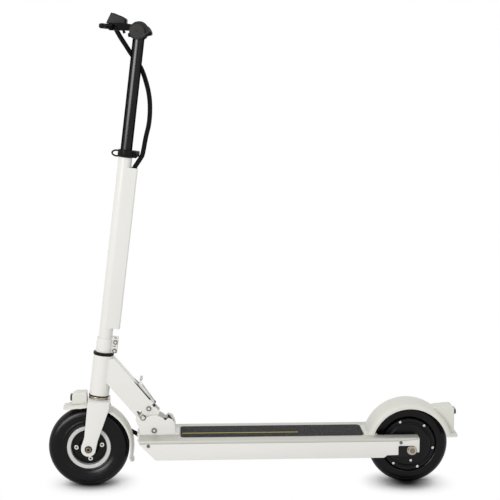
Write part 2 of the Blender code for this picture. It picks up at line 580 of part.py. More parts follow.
# Fork, front fender, headlight and axle
def make_fork():
    def crown_top(x):
        return (CROWN_TOP - (x - FOOT_X) * sin(LEAN)) / cos(LEAN)

    side = [(0.0, crown_top(0.0)), (-2.0, CROWN_TOP - 18.0), (-10.0, WHEEL_R + 30.0),
            (-18.0, WHEEL_R + 11.0)]
    side += arc(FRONT_AXLE, 20.0, 158.0, 335.0, 9)
    side += [(24.0, WHEEL_R + 23.0), (48.0, CROWN_TOP - 32.0), (52.0, CROWN_TOP - 22.0),
             (52.0, crown_top(52.0))]
    fork = slab("fork", side, -FORK_HALF[1], FORK_HALF[1], "white_paint", "steering")
    cut(fork, rod("cut_fork_arch", FRONT_FENDER_R + 0.5, -FORK_HALF[0], FORK_HALF[0], None,
                  "steering", at(*FRONT_AXLE), 56))
    add(fork, rod("add_steerer", STEERER_R, CROWN_TOP - 8.0, COLLAR_TOP + 4.0, None, "steering",
                  STEM, 32, "Z"))
    cut(fork, rod("cut_steerer", 11.5, CROWN_TOP - 32.0, COLLAR_TOP + 19.0, None, "steering",
                  STEM, 28, "Z"),
        rod("cut_fork_axle", AXLE_R + GAP, -50.0, 50.0, None, "steering", at(*FRONT_AXLE)))
    ring("crown_race", STEERER_R + GAP, HEAD_R + 0.5, *RACE, "bright_steel", "steering", STEM,
         32, "Z", 0.8)
    turned("front_axle", [(0, -47.0), (7.0, -47.0), (8.0, -46.0), (8.0, -42.3), (AXLE_R, -42.3),
                          (AXLE_R, 52.0), (0, 52.0)], "bright_steel", "steering", at(*FRONT_AXLE))
    hexagon("front_axle_nut", 16.5, AXLE_R + GAP, 42.3, 49.5, "bright_steel", "steering",
            at(*FRONT_AXLE))

    outer = [(32.3, -9.5), (31.6, -6.2), (28.2, -3.6), (21.5, -1.6), (11.0, -0.4), (0.0, 0.0)]
    inner = [(30.1, -9.5), (29.5, -7.0), (26.8, -5.3), (20.8, -3.7), (10.8, -2.6), (0.0, -2.2)]
    shell = outer + [(-y, r) for y, r in reversed(outer[:-1])]
    shell += [(-y, r) for y, r in inner] + list(reversed(inner[:-1]))
    rings = []
    # in front it rises into a bill, and its skirts thin out towards the tip
    for a in [-31.0, -29.0, -26.0, -22.0, -18.0, -14.0] + [
            -9.0 + k * 113.0 / 16 for k in range(17)] + [106.0, 108.0]:
        lift, depth = 0.0, 1.0
        if a < -11.0:
            lift = 7.5 * ((-11.0 - a) / 20.0) ** 0.7
        if a < -26.0:
            depth = 1.0 - 0.7 * ((-26.0 - a) / 5.0) ** 2
        if a > 104.1:
            lift = (a - 104.0) * 8.0 / 5.5
        s, c = sin(radians(a)), cos(radians(a))
        ring_r = [(y, FRONT_FENDER_R + lift + depth * r) for y, r in shell]
        rings.append([(r * s, y, FRONT_AXLE[1] + r * c) for y, r in ring_r])
    loft("front_fender", rings, "cream_plastic", "steering")

    housing = [(-(FRONT_FENDER_R + r) * sin(radians(a)),
                WHEEL_R + (FRONT_FENDER_R + r) * cos(radians(a)))
               for a, r in ((1.5, 0.5), (9.0, 0.5), (14.0, 2.5), (18.0, 4.2))]
    top = CROWN_TOP + 16.0
    housing += rounded([(-40.0, top - 25.0, 1.0), (-40.0, top - 6.0, 5.0), (-30.0, top - 0.5, 5.0),
                        (-4.0, top, 3.0)])
    slab("headlight_housing", housing, -20.0, 20.0, "cream_plastic", "steering")
    lens = rounded([(-14.0, top - 22.0, 5.0), (14.0, top - 22.0, 5.0), (14.0, top - 7.0, 5.0),
                    (-14.0, top - 7.0, 5.0)])
    slab("headlight_lens", lens, -45.0, -40.3, "clear_lens", "steering", across="X")


# Mast with the channel behind it, the collar at its foot and the height clamp on top
def make_mast():
    back = rounded([(5.0, -CHANNEL_HALF), (CHANNEL_BACK, -CHANNEL_HALF, 4.0),
                    (CHANNEL_BACK, CHANNEL_HALF, 4.0), (5.0, CHANNEL_HALF)])
    mast = slab("mast", back, CHANNEL_SPAN[0], CHANNEL_SPAN[1], "white_paint", "steering", STEM,
                "Z")
    hollow = rounded([(0.0, -11.0), (31.0, -11.0, 2.5), (31.0, 11.0, 2.5), (0.0, 11.0)])
    low, high = CHANNEL_SPAN
    cut(mast, slab("cut_mast_channel", hollow, low - 12.0, high + 14.0, None, "steering", STEM,
                   "Z"))
    low, high = MAST_BOTTOM, MAST_TOP
    add(mast, rod("add_mast_tube", MAST_R, low, high, None, "steering", STEM, 40, "Z"))
    cut(mast, rod("cut_mast_bore", MAST_BORE, low - 40.0, high + 60.0, None, "steering", STEM, 32,
                  "Z"))

    high = COLLAR_TOP
    collar = rod("stem_collar", MAST_R + 3.3, low, high, "white_paint", "steering", STEM, 40, "Z")
    ear = rounded([(0.0, -10.0), (33.0, -10.0, 3.0), (33.0, 10.0, 3.0), (0.0, 10.0)])
    add(collar, slab("add_collar_ear", ear, low + 0.5, high - 0.5, None, "steering", STEM, "Z"))
    bolts = (("lower", stem_at(low + 6.5, 26.0)), ("upper", stem_at(high - 12.5, 26.0)))
    for name, place in bolts:
        cut(collar, rod("cut_collar_" + name, 2.9, -12.0, 12.0, None, "steering", place, 14))
        turned("collar_bolt_" + name, [(0, -14.5), (4.6, -14.5), (5.4, -13.7), (5.4, -10.3),
                                       (2.6, -10.3), (2.6, 12.0), (0, 12.0)], "black_steel",
               "steering", place, 20)
    cut(collar,
        rod("cut_collar_bore", MAST_R + GAP, low - 10.0, high + 9.0, None, "steering", STEM, 36,
            "Z"),
        box("cut_collar_slit", (8.0, 40.0), (-1.0, 1.0), (low - 10.0, high + 9.0), None,
            "steering", STEM))

    top = MAST_TOP
    clamp = rod("height_clamp", MAST_R + 3.0, top - 18.4, top + 3.8, "black_matte", "steering",
                STEM, 40, "Z")
    loop = rounded([(-37.0, top - 17.5, 3.0), (-10.0, top - 17.5), (-10.0, top + 5.0),
                    (-37.0, top + 5.0, 3.0)])
    ears = rounded([(10.0, top - 17.5), (26.0, top - 17.5, 2.0), (32.6, top - 7.0, 2.5),
                    (32.6, top + 3.0, 2.5), (10.0, top + 3.0)])
    add(clamp, slab("add_clamp_loop", loop, -6.0, 6.0, None, "steering", STEM),
        slab("add_clamp_ears", ears, -8.0, 8.0, None, "steering", STEM))
    eye = rounded([(-32.4, top - 13.4, 2.0), (-19.0, top - 13.4, 2.0), (-19.0, top + 0.8, 2.0),
                   (-32.4, top + 0.8, 2.0)])
    cut(clamp, rod("cut_clamp_bore", MAST_R + GAP, top - 26.0, top + GAP, None, "steering", STEM,
                   40, "Z"),
        rod("cut_clamp_lip", MAST_BORE + GAP, top - 26.0, top + 19.0, None, "steering", STEM, 32,
            "Z"),
        slab("cut_clamp_eye", eye, -9.0, 9.0, None, "steering", STEM),
        box("cut_clamp_slit", (6.0, 40.0), (-1.5, 1.5), (top - 26.0, top + 19.0), None,
            "steering", STEM),
        rod("cut_clamp_skewer", 2.5, -12.0, 12.0, None, "steering", stem_at(top - 3.5, 28.5), 16),
        rod("cut_clamp_peep", 2.4, -12.0, 12.0, None, "steering", stem_at(top - 9.0, 24.0), 16))
    turned("clamp_skewer", [(0, -11.5), (4.2, -11.5), (4.2, -8.3), (2.2, -8.3), (2.2, 9.6),
                            (0, 9.6)], "bright_steel", "steering", stem_at(top - 3.5, 28.5), 20)
    handle = [(33.0, 15.0), (31.5, 19.0), (27.0, 20.8), (10.0, 25.4), (-8.0, 28.0), (-16.0, 27.5),
              (-16.0, 24.6), (-6.0, 23.6), (10.0, 21.5), (22.0, 15.5), (24.0, 11.8), (28.5, 10.4),
              (32.0, 12.0)]
    slab("quick_release_lever", handle, top - 13.0, top + 1.0, "black_matte", "quick_release",
         STEM, "Z")


# Telescopic post with the bar clamp, bar, grips, controls and the loom
def make_post():
    post = rod("post_tube", POST_R, POST_BOTTOM, POST_TOP + 10.0, "black_gloss", "height_post",
               STEM, 32, "Z")
    add(post, rod("add_bar_clamp", 15.5, -21.0, 21.0, None, "height_post", at(*BAR), 28))
    cut(post, rod("cut_bar_seat", BAR_R + GAP, -30.0, 30.0, None, "height_post", at(*BAR), 24),
        rod("cut_post_bore", 12.0, 700.0, 1098.0, None, "height_post", STEM, 24, "Z"))
    ring("handlebar", 9.0, BAR_R, -BAR_HALF, BAR_HALF, "black_gloss", "height_post", at(*BAR), 24)

    # the grip's palm rest: an outline that grows from round at the inner end to the full wing
    wing = [(-17.5, 0.0), (-16.2, 7.5), (-12.4, 13.5), (-6.5, 18.5), (0.0, 20.8), (8.0, 21.0),
            (15.0, 18.5), (20.5, 13.5), (25.5, 6.5), (28.3, 0.5), (27.5, -3.0), (24.0, -4.2),
            (17.0, -5.5), (11.0, -10.0), (2.0, -17.0), (-5.0, -17.0), (-11.5, -13.2),
            (-16.0, -7.0)]
    count = len(wing)
    for side, sign in (("left", -1.0), ("right", 1.0)):
        rings = []
        for y, grow, fat in ((GRIP_INNER, 0.0, 1.05), (GRIP_INNER + 2.5, 0.0, 1.12),
                             (GRIP_INNER + 7.0, 0.0, 1.12), (GRIP_INNER + 9.0, 0.0, 0.95),
                             (GRIP_INNER + 34.0, 0.12, 0.95), (GRIP_INNER + 60.0, 0.5, 0.97),
                             (GRIP_INNER + 84.0, 0.9, 1.0), (GRIP_INNER + 106.0, 1.0, 1.0),
                             (GRIP_END - 1.5, 1.0, 1.0), (GRIP_END, 0.98, 0.96)):
            loop = []
            for k, (x, z) in enumerate(wing):
                a = pi - 2 * pi * k / count
                rx, rz = 16.5 * cos(a), 16.5 * sin(a)
                px, pz = fat * (rx + (x - rx) * grow), fat * (rz + (z - rz) * grow)
                loop.append((px, sign * y, pz))
            rings.append(loop)
        grip = loft(side + "_grip", rings, "grip_rubber", "height_post", at(*BAR), 50.0)
        span = sorted((sign * (GRIP_INNER - 22.0), sign * (BAR_HALF + GAP)))
        cut(grip, rod("cut_%s_grip" % side, BAR_R + GAP, span[0], span[1], None, "height_post",
                      at(*BAR), 32))

    case = rounded([(68.0, 1165.0, 2.5), (55.0, 1139.5, 3.0), (82.0, 1139.0), (100.0, 1128.5, 3.0),
                    (116.5, 1127.0, 1.5), (119.0, 1132.5, 2.0), (103.0, 1141.0),
                    (103.0, 1151.0, 1.5)], 3)
    housing = slab("display_housing", case, -42.0, 42.0, "black_matte", "height_post")
    cut(housing,
        box("cut_neck_left", (80.0, 130.0), (-50.0, -15.0), (1110.0, 1138.8), None,
            "height_post"),
        box("cut_neck_right", (80.0, 130.0), (15.0, 50.0), (1110.0, 1138.8), None,
            "height_post"),
        box("cut_corner_left", (103.2, 130.0), (-50.0, -15.0), (1110.0, 1160.0), None,
            "height_post"),
        box("cut_corner_right", (103.2, 130.0), (15.0, 50.0), (1110.0, 1160.0), None,
            "height_post"),
        box("cut_button_well", (99.9, 110.0), (-7.4, 7.4), (1142.2, 1149.8), None, "height_post"))
    tilt = atan2(1151.0 - 1165.0, 103.0 - 68.0)
    d, n = (cos(tilt), sin(tilt)), (-sin(tilt), cos(tilt))
    glass = [(68.0 + a * d[0] + b * n[0], 1165.0 + a * d[1] + b * n[1])
             for a, b in ((3.0, 0.3), (34.0, 0.3), (34.0, 1.3), (3.0, 1.3))]
    slab("display_screen", glass, -38.0, 38.0, "screen_glass", "height_post")
    box("display_button", (101.7, 105.0), (-7.0, 7.0), (1142.6, 1149.4), "grey_plastic",
        "display_button")

    pin = -BRAKE_PIN
    perch = ring("brake_perch", BAR_R + GAP, 16.5, pin - 10.0, pin + 10.0, "black_matte",
                 "height_post", at(*BAR), 32)
    arm = rounded([(64.0, 1122.0, 3.0), (112.0, 1121.0), (121.0, 1121.0), (121.0, 1136.0),
                   (100.0, 1138.0), (64.0, 1139.0, 3.0)])
    add(perch, slab("add_perch_arm", arm, pin - 8.0, pin + 8.0, None, "height_post"))
    cut(perch, rod("cut_perch_bar", BAR_R + GAP, pin - 24.0, pin + 26.0, None, "height_post",
                   at(*BAR), 32),
        box("cut_perch_fork", (50.0, 84.0), (pin - 24.0, pin + 16.0), (1125.7, 1135.6), None,
            "height_post"),
        rod("cut_perch_pin", 2.8, 1118.0, 1142.0, None, "height_post", at(73.0, 0.0, pin), 16,
            "Z"))
    blade = [(66.8, 3.0), (73.0, 6.2), (79.2, 3.0), (79.2, -3.0), (74.5, -12.0), (65.5, -30.0),
             (60.5, -54.0), (60.5, -84.0), (62.0, -110.0), (59.0, -117.0), (52.5, -118.0),
             (47.5, -113.0), (47.0, -104.0), (51.5, -84.0), (52.0, -54.0), (56.5, -28.0),
             (64.5, -8.0)]
    lever = slab("brake_lever", [(x, pin + y) for x, y in blade], 1126.2, 1135.1, "black_matte",
                 "brake_lever", across="Z")
    add(lever, rod("add_brake_pin", 2.4, 1121.5, 1139.5, None, "brake_lever",
                   at(73.0, 0.0, pin), 16, "Z"))

    inner = GRIP_INNER
    ring("throttle_housing", BAR_R + GAP, 18.5, inner - 28.0, inner - 10.4, "black_matte",
         "height_post", at(*BAR), 32, "Y", 1.2)
    paddle = ring("throttle_lever", BAR_R + GAP, 16.8, inner - 10.0, inner - 1.5, "black_matte",
                  "throttle", at(*BAR), 32)
    thumb = [(12.0, -9.0), (24.0, -7.0), (27.5, -4.0), (28.0, -0.5), (26.0, 2.5), (20.0, 3.5),
             (13.0, 5.0)]
    add(paddle, slab("add_throttle_thumb", thumb, inner - 9.8, inner - 1.7, None, "throttle",
                     at(*BAR)))
    cut(paddle, rod("cut_throttle_bore", BAR_R + GAP, inner - 17.0, inner + 8.0, None, "throttle",
                    at(*BAR), 32))

    loom("upper_loom", [(75, -27.5, 1136), (80.6, -20, 1121.6), (89.5, -8, 1105.1),
                        (99.7, 6, 1088.6), (109.8, 20, 1071.9), (122.8, 26.5, 1052.7),
                        (135.9, 26, 1033.4), (146.0, 21, 1006.9), (154.4, 15, 973.2),
                        (157.3, 10, 939.5), (154.7, 6, 900.9), (146.4, 3, 864.7),
                        side_point(40.5, 838.0), side_point(36.5, 826.0), side_point(30.6, 814.0),
                        side_point(24.8, 802.0), side_point(23.9, 788.0), side_point(23.9, 700.0),
                        side_point(23.9, 600.0)], 5.0, "black_rubber", "height_post")


def side_point(u, s, y=0.0):
    """Stem frame point in the side view's coordinates."""
    return (FOOT_X + u * cos(LEAN) + s * sin(LEAN), y, -u * sin(LEAN) + s * cos(LEAN))


make_deck()
make_bracket()
make_rear()
make_wheels()
make_front_frame()
make_release_lever()
make_fork()
make_mast()
make_post()
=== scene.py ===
import json
import bmesh
import bpy
import numpy as np
from math import atan2, cos, pi, radians, sin
from mathutils import Matrix, Vector

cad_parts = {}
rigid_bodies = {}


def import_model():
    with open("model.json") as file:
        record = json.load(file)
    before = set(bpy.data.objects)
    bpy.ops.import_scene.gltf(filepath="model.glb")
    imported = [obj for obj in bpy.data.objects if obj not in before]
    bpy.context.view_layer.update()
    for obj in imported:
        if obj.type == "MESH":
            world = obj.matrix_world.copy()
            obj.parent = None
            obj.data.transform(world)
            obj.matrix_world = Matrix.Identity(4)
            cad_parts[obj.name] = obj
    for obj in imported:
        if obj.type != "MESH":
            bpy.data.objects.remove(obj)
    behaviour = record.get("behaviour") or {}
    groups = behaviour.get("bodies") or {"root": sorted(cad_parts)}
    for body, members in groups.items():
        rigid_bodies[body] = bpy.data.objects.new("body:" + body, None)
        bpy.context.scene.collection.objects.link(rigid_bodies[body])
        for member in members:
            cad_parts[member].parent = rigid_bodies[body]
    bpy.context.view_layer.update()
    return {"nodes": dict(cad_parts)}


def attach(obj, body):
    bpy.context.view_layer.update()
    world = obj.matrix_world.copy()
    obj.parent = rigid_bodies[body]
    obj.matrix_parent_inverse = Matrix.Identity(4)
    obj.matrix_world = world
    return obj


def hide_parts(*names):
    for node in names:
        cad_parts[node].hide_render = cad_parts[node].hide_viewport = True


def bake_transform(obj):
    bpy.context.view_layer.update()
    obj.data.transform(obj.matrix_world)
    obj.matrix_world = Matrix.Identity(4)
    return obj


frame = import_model()

# Lengths are in millimetres from the ground under the front axle. The front is -X, the left -Y.
middle = 410.5                      # the model's origin lies this far behind the front axle
lean = radians(6.9)                 # the steering axis
slope = radians(49.5)               # the down tube
frontAxle = (0.0, 100.0)
rearAxle = (797.0, 100.0)
bar = (133.4, 1119.0)


def frameAt(x, z, turn=0.0, y=0.0):
    # axes at a point, turned about Y so that Z leans back
    c, s = cos(turn), sin(turn)
    return np.array((x, y, z), float), np.array([[c, 0, -s], [0, 1, 0], [s, 0, c]])


frontHub, rearHub, barAxis = frameAt(*frontAxle), frameAt(*rearAxle), frameAt(*bar)
foldPin = frameAt(162, 144)         # the front frame folds about it
leverPin = frameAt(149, 197)        # the release lever turns on it
latchPin = frameAt(135, 176)
stem = frameAt(-2, 0, lean)         # Z runs up the steering axis, X points back from it
tube = frameAt(64, 323, slope)      # X runs down the down tube, Z stands square on it


def stemAt(s, u):
    # the same axes at a height s up the steering axis and a distance u behind it
    return stem[0] + np.array((u, 0, s)) @ stem[1], stem[1]


def metres(points):
    # from the millimetres of this file to the model's own metres
    return (np.asarray(points, float) - (middle, 0, 0)) * 0.001


# ---- finishes

def operator(operation, swapped=False):
    def apply(wire, other):
        return wire.paint.maths(operation, *((other, wire) if swapped else (wire, other)))
    return apply


class Wire:                                  # a shader socket that sums can be written with
    def __init__(self, paint, socket):
        self.paint, self.socket = paint, socket

    __add__ = __radd__ = operator("ADD")
    __sub__, __rsub__ = operator("SUBTRACT"), operator("SUBTRACT", True)
    __mul__ = __rmul__ = operator("MULTIPLY")
    __pow__ = operator("POWER")
    __gt__, __lt__ = operator("GREATER_THAN"), operator("LESS_THAN")


class Paint:                                 # one node tree under construction
    def __init__(self, name, owner=None):
        if owner is None:
            owner = bpy.data.materials.new(name)
            owner.use_nodes = True
        self.name, self.owner, self.tree = name, owner, owner.node_tree
        self.shader = self.tree.nodes.get("Principled BSDF")

    def node(self, kind, settings=None, values=None, output=0):
        made = self.tree.nodes.new("ShaderNode" + kind)
        for key, value in (settings or {}).items():
            setattr(made, key, value)
        for key, value in (values or {}).items():
            self.feed(made.inputs[key], value)
        return Wire(self, made.outputs[output])

    def feed(self, socket, value):
        if isinstance(value, Wire):
            self.tree.links.new(value.socket, socket)
        else:
            socket.default_value = value

    def maths(self, operation, *values):
        return self.node("Math", {"operation": operation}, dict(enumerate(values)))

    def smooth(self, value, low, high):      # 0 below low, 1 above high, eased between
        return self.node("MapRange", {"interpolation_type": "SMOOTHSTEP"},
                         {0: value, 1: low, 2: high, 3: 0.0, 4: 1.0})

    def mixed(self, factor, one, two):       # colour between two colours
        return self.node("Mix", {"data_type": "RGBA"}, {0: factor, 6: one, 7: two}, 2)

    def coords(self, scale=(1, 1, 1), move=(0, 0, 0), kind=3):
        raw = self.node("TexCoord", output=kind)
        return self.node("Mapping", None, {"Vector": raw, "Location": move, "Scale": scale})

    def noise(self, scale, detail=2.0, rough=0.5, where=None):
        return self.node("TexNoise", None, {"Vector": where or self.coords(), "Scale": scale,
                                            "Detail": detail, "Roughness": rough})

    def cells(self, scale, output=0):
        return self.node("TexVoronoi", None, {"Vector": self.coords(), "Scale": scale}, output)

    def split(self, vector):
        made = self.tree.nodes.new("ShaderNodeSeparateXYZ")
        self.feed(made.inputs[0], vector)
        return [Wire(self, made.outputs[k]) for k in range(3)]

    def finish(self, slot, blend, light, dark, rough, height, depth, **values):
        # a colour between two tones, a roughness, a relief in metres, numbers on the shader
        if not isinstance(light, Wire):
            light = tone(*light)
        self.feed(self.shader.inputs["Base Color"], self.mixed(blend, light, tone(*dark)))
        self.feed(self.shader.inputs["Roughness"], rough)
        bump = self.node("Bump", None, {"Height": height, "Distance": depth, "Strength": 1.0})
        self.feed(self.shader.inputs["Normal"], bump)
        for key, value in values.items():
            self.shader.inputs[key.replace("_", " ")].default_value = value
        finishes[self.name], slots[self.name] = self.owner, slot


def tone(*grey):
    # a colour of the picture, 0 to 255, as the shader wants it
    rgb = np.array(grey, float) / 255
    low, high = rgb / 12.92, ((rgb + 0.055) / 1.055) ** 2.4
    return (*np.where(rgb <= 0.04045, low, high).tolist(), 1.0)


def axleRings(paint, axle):
    # distance from a wheel's axle, in millimetres, the angle round it and the place along it
    x, y, z = paint.split(paint.coords((1000, 1000, 1000), (middle - axle[0], 0, -axle[1])))
    return (x * x + z * z) ** 0.5, paint.maths("ARCTAN2", x, z), y


finishes, slots = {}, {}


def makeCoats():
    coats = {
        # name: light tone, dark tone
        "whitePaint": ((236, 235, 231), (230, 229, 224)),
        "silverPlate": ((203, 202, 195), (192, 191, 183)),
        "blackGloss": ((43, 43, 43), (37, 37, 37)),
    }
    paint = Paint("whitePaint")              # sprayed: a fine orange peel, a slow drift of tone
    paint.finish("white_paint", paint.noise(5, 3), *coats["whitePaint"],
                 0.27 + 0.1 * paint.noise(60, 3), paint.noise(900, 2), 0.00005,
                 Coat_Weight=0.08, Coat_Roughness=0.12, Specular_IOR_Level=0.3)

    paint = Paint("silverPlate")             # anodised board, brushed along its length
    grain = paint.noise(1.0, 4, 0.6, paint.coords((30, 1600, 1600)))
    paint.finish("silver_plate", grain * 0.6 + paint.noise(8, 2) * 0.4, *coats["silverPlate"],
                 0.34 + 0.14 * grain, grain, 0.00003, Metallic=0.35)

    paint = Paint("blackGloss")              # dark plated and lacquered tube
    paint.finish("black_gloss", paint.noise(9, 3), *coats["blackGloss"],
                 0.2 + 0.04 * paint.noise(120, 4), paint.noise(500, 2), 0.000005,
                 Metallic=1.0, Specular_Tint=(0, 0, 0, 1))


def makePlastics():
    looks = {
        # name: light tone, dark tone, roughness, spark-grain size, relief, specular, slot
        "creamPlastic": ((227, 227, 219), (219, 219, 210), 0.38, 1500, 0.00004, 0.35,
                         "cream_plastic"),
        "blackMatte": ((56, 56, 56), (47, 47, 48), 0.5, 2200, 0.00006, 0.2, "black_matte"),
        "blackCap": ((18, 18, 18), (12, 12, 13), 0.36, 2200, 0.00005, 0.12, "black_matte"),
        "capRubber": ((62, 61, 60), (54, 53, 52), 0.6, 2200, 0.00006, 0.15, "grip_rubber"),
        "greyPlastic": ((216, 210, 220), (202, 197, 206), 0.45, 1800, 0.00005, 0.45,
                        "grey_plastic"),
        "batteryWrap": ((44, 76, 118), (36, 64, 102), 0.3, 300, 0.00012, 0.5, "battery_wrap"),
    }
    for name, (light, dark, rough, size, depth, shine, slot) in looks.items():
        paint = Paint(name)
        paint.finish(slot, paint.noise(12, 3), light, dark,
                     rough + 0.12 * (paint.noise(90, 3) - 0.5), paint.noise(size, 2, 0.6), depth,
                     Specular_IOR_Level=shine)


def makeMetals():
    looks = {
        # name: tone, second tone, roughness, metallic, slot
        "brightSteel": ((228, 227, 222), (200, 198, 192), 0.2, 1.0, "bright_steel"),
        "warmSteel": ((205, 197, 184), (150, 140, 128), 0.24, 1.0, "bright_steel"),
        "bronzeSteel": ((150, 142, 126), (104, 96, 84), 0.3, 1.0, "bright_steel"),
        "motorIron": ((150, 148, 146), (120, 118, 116), 0.35, 1.0, "motor_iron"),
        "blackSteel": ((20, 20, 21), (13, 13, 14), 0.36, 0.0, "black_steel"),
        "darkBolt": ((58, 56, 52), (40, 38, 36), 0.3, 0.8, "black_steel"),
        "greyBolt": ((128, 126, 120), (96, 94, 88), 0.34, 1.0, "black_steel"),
    }
    for name, (light, dark, rough, metallic, slot) in looks.items():
        paint = Paint(name)
        paint.finish(slot, paint.noise(260, 4, 0.6), light, dark,
                     rough + 0.2 * (paint.noise(700, 3) - 0.4), paint.noise(1200, 3, 0.6),
                     0.00003, Metallic=metallic, Specular_IOR_Level=0.2)

    for name, axle, light, dark, metallic, slot in (
            ("rimSilver", frontAxle, (214, 214, 212), (198, 198, 196), 0.35, "rim_silver"),
            ("hubBlack", frontAxle, (14, 14, 15), (9, 9, 10), 0.0, "rim_silver"),
            ("motorBlack", rearAxle, (15, 15, 16), (9, 9, 10), 0.0, "black_steel")):
        paint = Paint(name)                  # turned on a lathe: fine rings round the axle
        away = axleRings(paint, axle)[0]
        rings = paint.maths("SINE", away * 14 + paint.noise(300, 2) * 3) * 0.5 + 0.5
        paint.finish(slot, rings * 0.4 + paint.noise(20, 3) * 0.6, light, dark,
                     0.24 + 0.12 * rings, rings, 0.00001, Metallic=metallic,
                     Specular_IOR_Level=0.18)


def makeGlass():
    for name, slot, light, dark, shine in (
            ("screenGlass", "screen_glass", (14, 15, 17), (10, 11, 13), 0.5),
            ("smokedLens", "clear_lens", (24, 25, 27), (15, 16, 18), 0.3),
            ("redLens", "red_lens", (46, 9, 10), (24, 6, 7), 0.25)):
        paint = Paint(name)                  # small prisms behind a clear face
        y, z = paint.split(paint.coords((1000, 1000, 1000)))[1:]
        prism = (paint.maths("SINE", y * 2.4) * paint.maths("SINE", z * 2.4)) * 0.5 + 0.5
        height, depth = prism, 0.0002
        if name == "screenGlass":
            height, depth = paint.noise(300, 1), 0.00001
        paint.finish(slot, prism, light, dark, 0.06 + 0.05 * paint.noise(80, 2), height, depth,
                     Specular_IOR_Level=shine)


def makeRubbers():
    for name, axle in (("frontRubber", frontAxle), ("rearRubber", rearAxle)):
        paint = Paint(name)                  # solid tyre: fine rings and scuffs on the tread
        away, angle, y = axleRings(paint, axle)
        tread = paint.smooth(away, 95.0, 98.5)
        bloom = paint.noise(40, 5, 0.65)
        ring = paint.maths("SINE", away * 3.2) * 0.5 + 0.5
        sipe = paint.smooth(paint.maths("SINE", angle * 96 + y * 0.35), 0.72, 0.95) * tread
        paint.finish("tyre_rubber", bloom, (7, 7, 8), (14, 14, 15),
                     0.12 + 0.16 * bloom + 0.3 * tread,
                     0.08 * paint.noise(900, 3) + 0.12 * ring * (1 - tread) - sipe, 0.0004,
                     Specular_IOR_Level=0.16)

    # braided sleeve; U runs round it and V along it in metres
    paint = Paint("loomRubber")
    u, v = paint.split(paint.coords(kind=2))[:2]
    one = paint.maths("SINE", u * (2 * pi * 10) + v * 1400)
    two = paint.maths("SINE", u * (2 * pi * 10) - v * 1400)
    braid = one * two * 0.5 + 0.5
    paint.finish("loom_rubber", braid, (18, 18, 18), (38, 38, 38), 0.7 + 0.15 * braid, braid,
                 0.0003, Specular_IOR_Level=0.02)

    paint = Paint("gripRubber")              # soft rubber with a fine lozenge grain
    x, y = paint.split(paint.coords((1000, 1000, 1000)))[:2]
    lozenge = paint.maths("SINE", (y + x) * 1.5) * paint.maths("SINE", (y - x) * 1.5)
    lozenge = paint.smooth(lozenge, -0.2, 0.5)
    paint.finish("grip_rubber", lozenge * 0.5 + paint.noise(30, 4) * 0.5, (38, 38, 38),
                 (54, 54, 54), 0.56 + 0.16 * paint.noise(60, 4),
                 lozenge + 0.3 * paint.noise(1500, 2), 0.0003, Specular_IOR_Level=0.2,
                 Sheen_Weight=0.06, Sheen_Roughness=0.4)

    # grains bound in black, with one thin ochre line
    tape = {"stripe": (-17.0, 3.0), "stripeSpan": (231.0, 520.0), "ochre": (206, 190, 88)}
    paint = Paint("darkGrit")
    x, y = paint.split(paint.coords((1000, 1000, 1000), (middle, 0, 0)))[:2]
    grain = paint.cells(900)
    spark = paint.node("SeparateColor", None, {0: paint.cells(900, 1)})
    near = paint.maths("ABSOLUTE", y - tape["stripe"][0]) < tape["stripe"][1]
    stripe = near * (x > tape["stripeSpan"][0]) * (x < tape["stripeSpan"][1])
    base = paint.mixed(grain * 0.7 + paint.noise(14, 4, 0.6) * 0.5, tone(26, 26, 27),
                       tone(50, 50, 51))
    base = paint.mixed((spark > 0.93) * 0.5, base, tone(120, 120, 120))
    paint.finish("dark_grit", stripe * 0.85, base, tape["ochre"], 0.8 - 0.3 * (spark > 0.93),
                 1 - grain, 0.0006, Specular_IOR_Level=0.15)


makeCoats()
makePlastics()
makeMetals()
makeGlass()
makeRubbers()
print("finishes:", len(finishes))


# ---- shapes

def roundCorners(corners, steps=6):
    # every corner (a, b, radius) becomes the arc that touches both of its sides
    c = np.array([(*p, 0)[:3] for p in corners], float)
    p, r = c[:, :2], c[:, 2]
    a, b = np.roll(p, 1, 0) - p, np.roll(p, -1, 0) - p
    a /= np.linalg.norm(a, axis=1, keepdims=True)
    b /= np.linalg.norm(b, axis=1, keepdims=True)
    half = np.arccos(np.clip((a * b).sum(1), -1, 1)) / 2
    half = np.clip(half, 1e-3, pi / 2 - 1e-6)
    reach = (r / np.tan(half))[:, None]
    bisector = (a + b) / np.maximum(np.linalg.norm(a + b, axis=1, keepdims=True), 1e-9)
    centre = p + bisector * (r / np.sin(half))[:, None]
    first, last = p + a * reach - centre, p + b * reach - centre
    start = np.arctan2(first[:, 1], first[:, 0])
    sweep = (np.arctan2(last[:, 1], last[:, 0]) - start + pi) % (2 * pi) - pi
    angle = start[:, None] + sweep[:, None] * np.linspace(0, 1, steps + 1)
    arcs = centre[:, None] + r[:, None, None] * np.stack([np.cos(angle), np.sin(angle)], -1)
    return np.concatenate([arcs[k] if r[k] > 0 else p[k:k + 1] for k in range(len(p))])


def rectangle(a, b, radius, steps):
    corners = [(a[0], b[0]), (a[1], b[0]), (a[1], b[1]), (a[0], b[1])]
    return roundCorners([(*corner, radius) for corner in corners], steps)


def evenly(half, signs=(1, -1)):
    # a profile's first half, then the same back again on the other side
    return half + [(a * signs[0], b * signs[1], *r) for a, b, *r in reversed(half)]


def arc(centre, radius, first, last, steps):
    a = np.radians(np.linspace(first, last, steps + 1))
    return (np.array(centre) + radius * np.stack([np.cos(a), np.sin(a)], 1)).tolist()


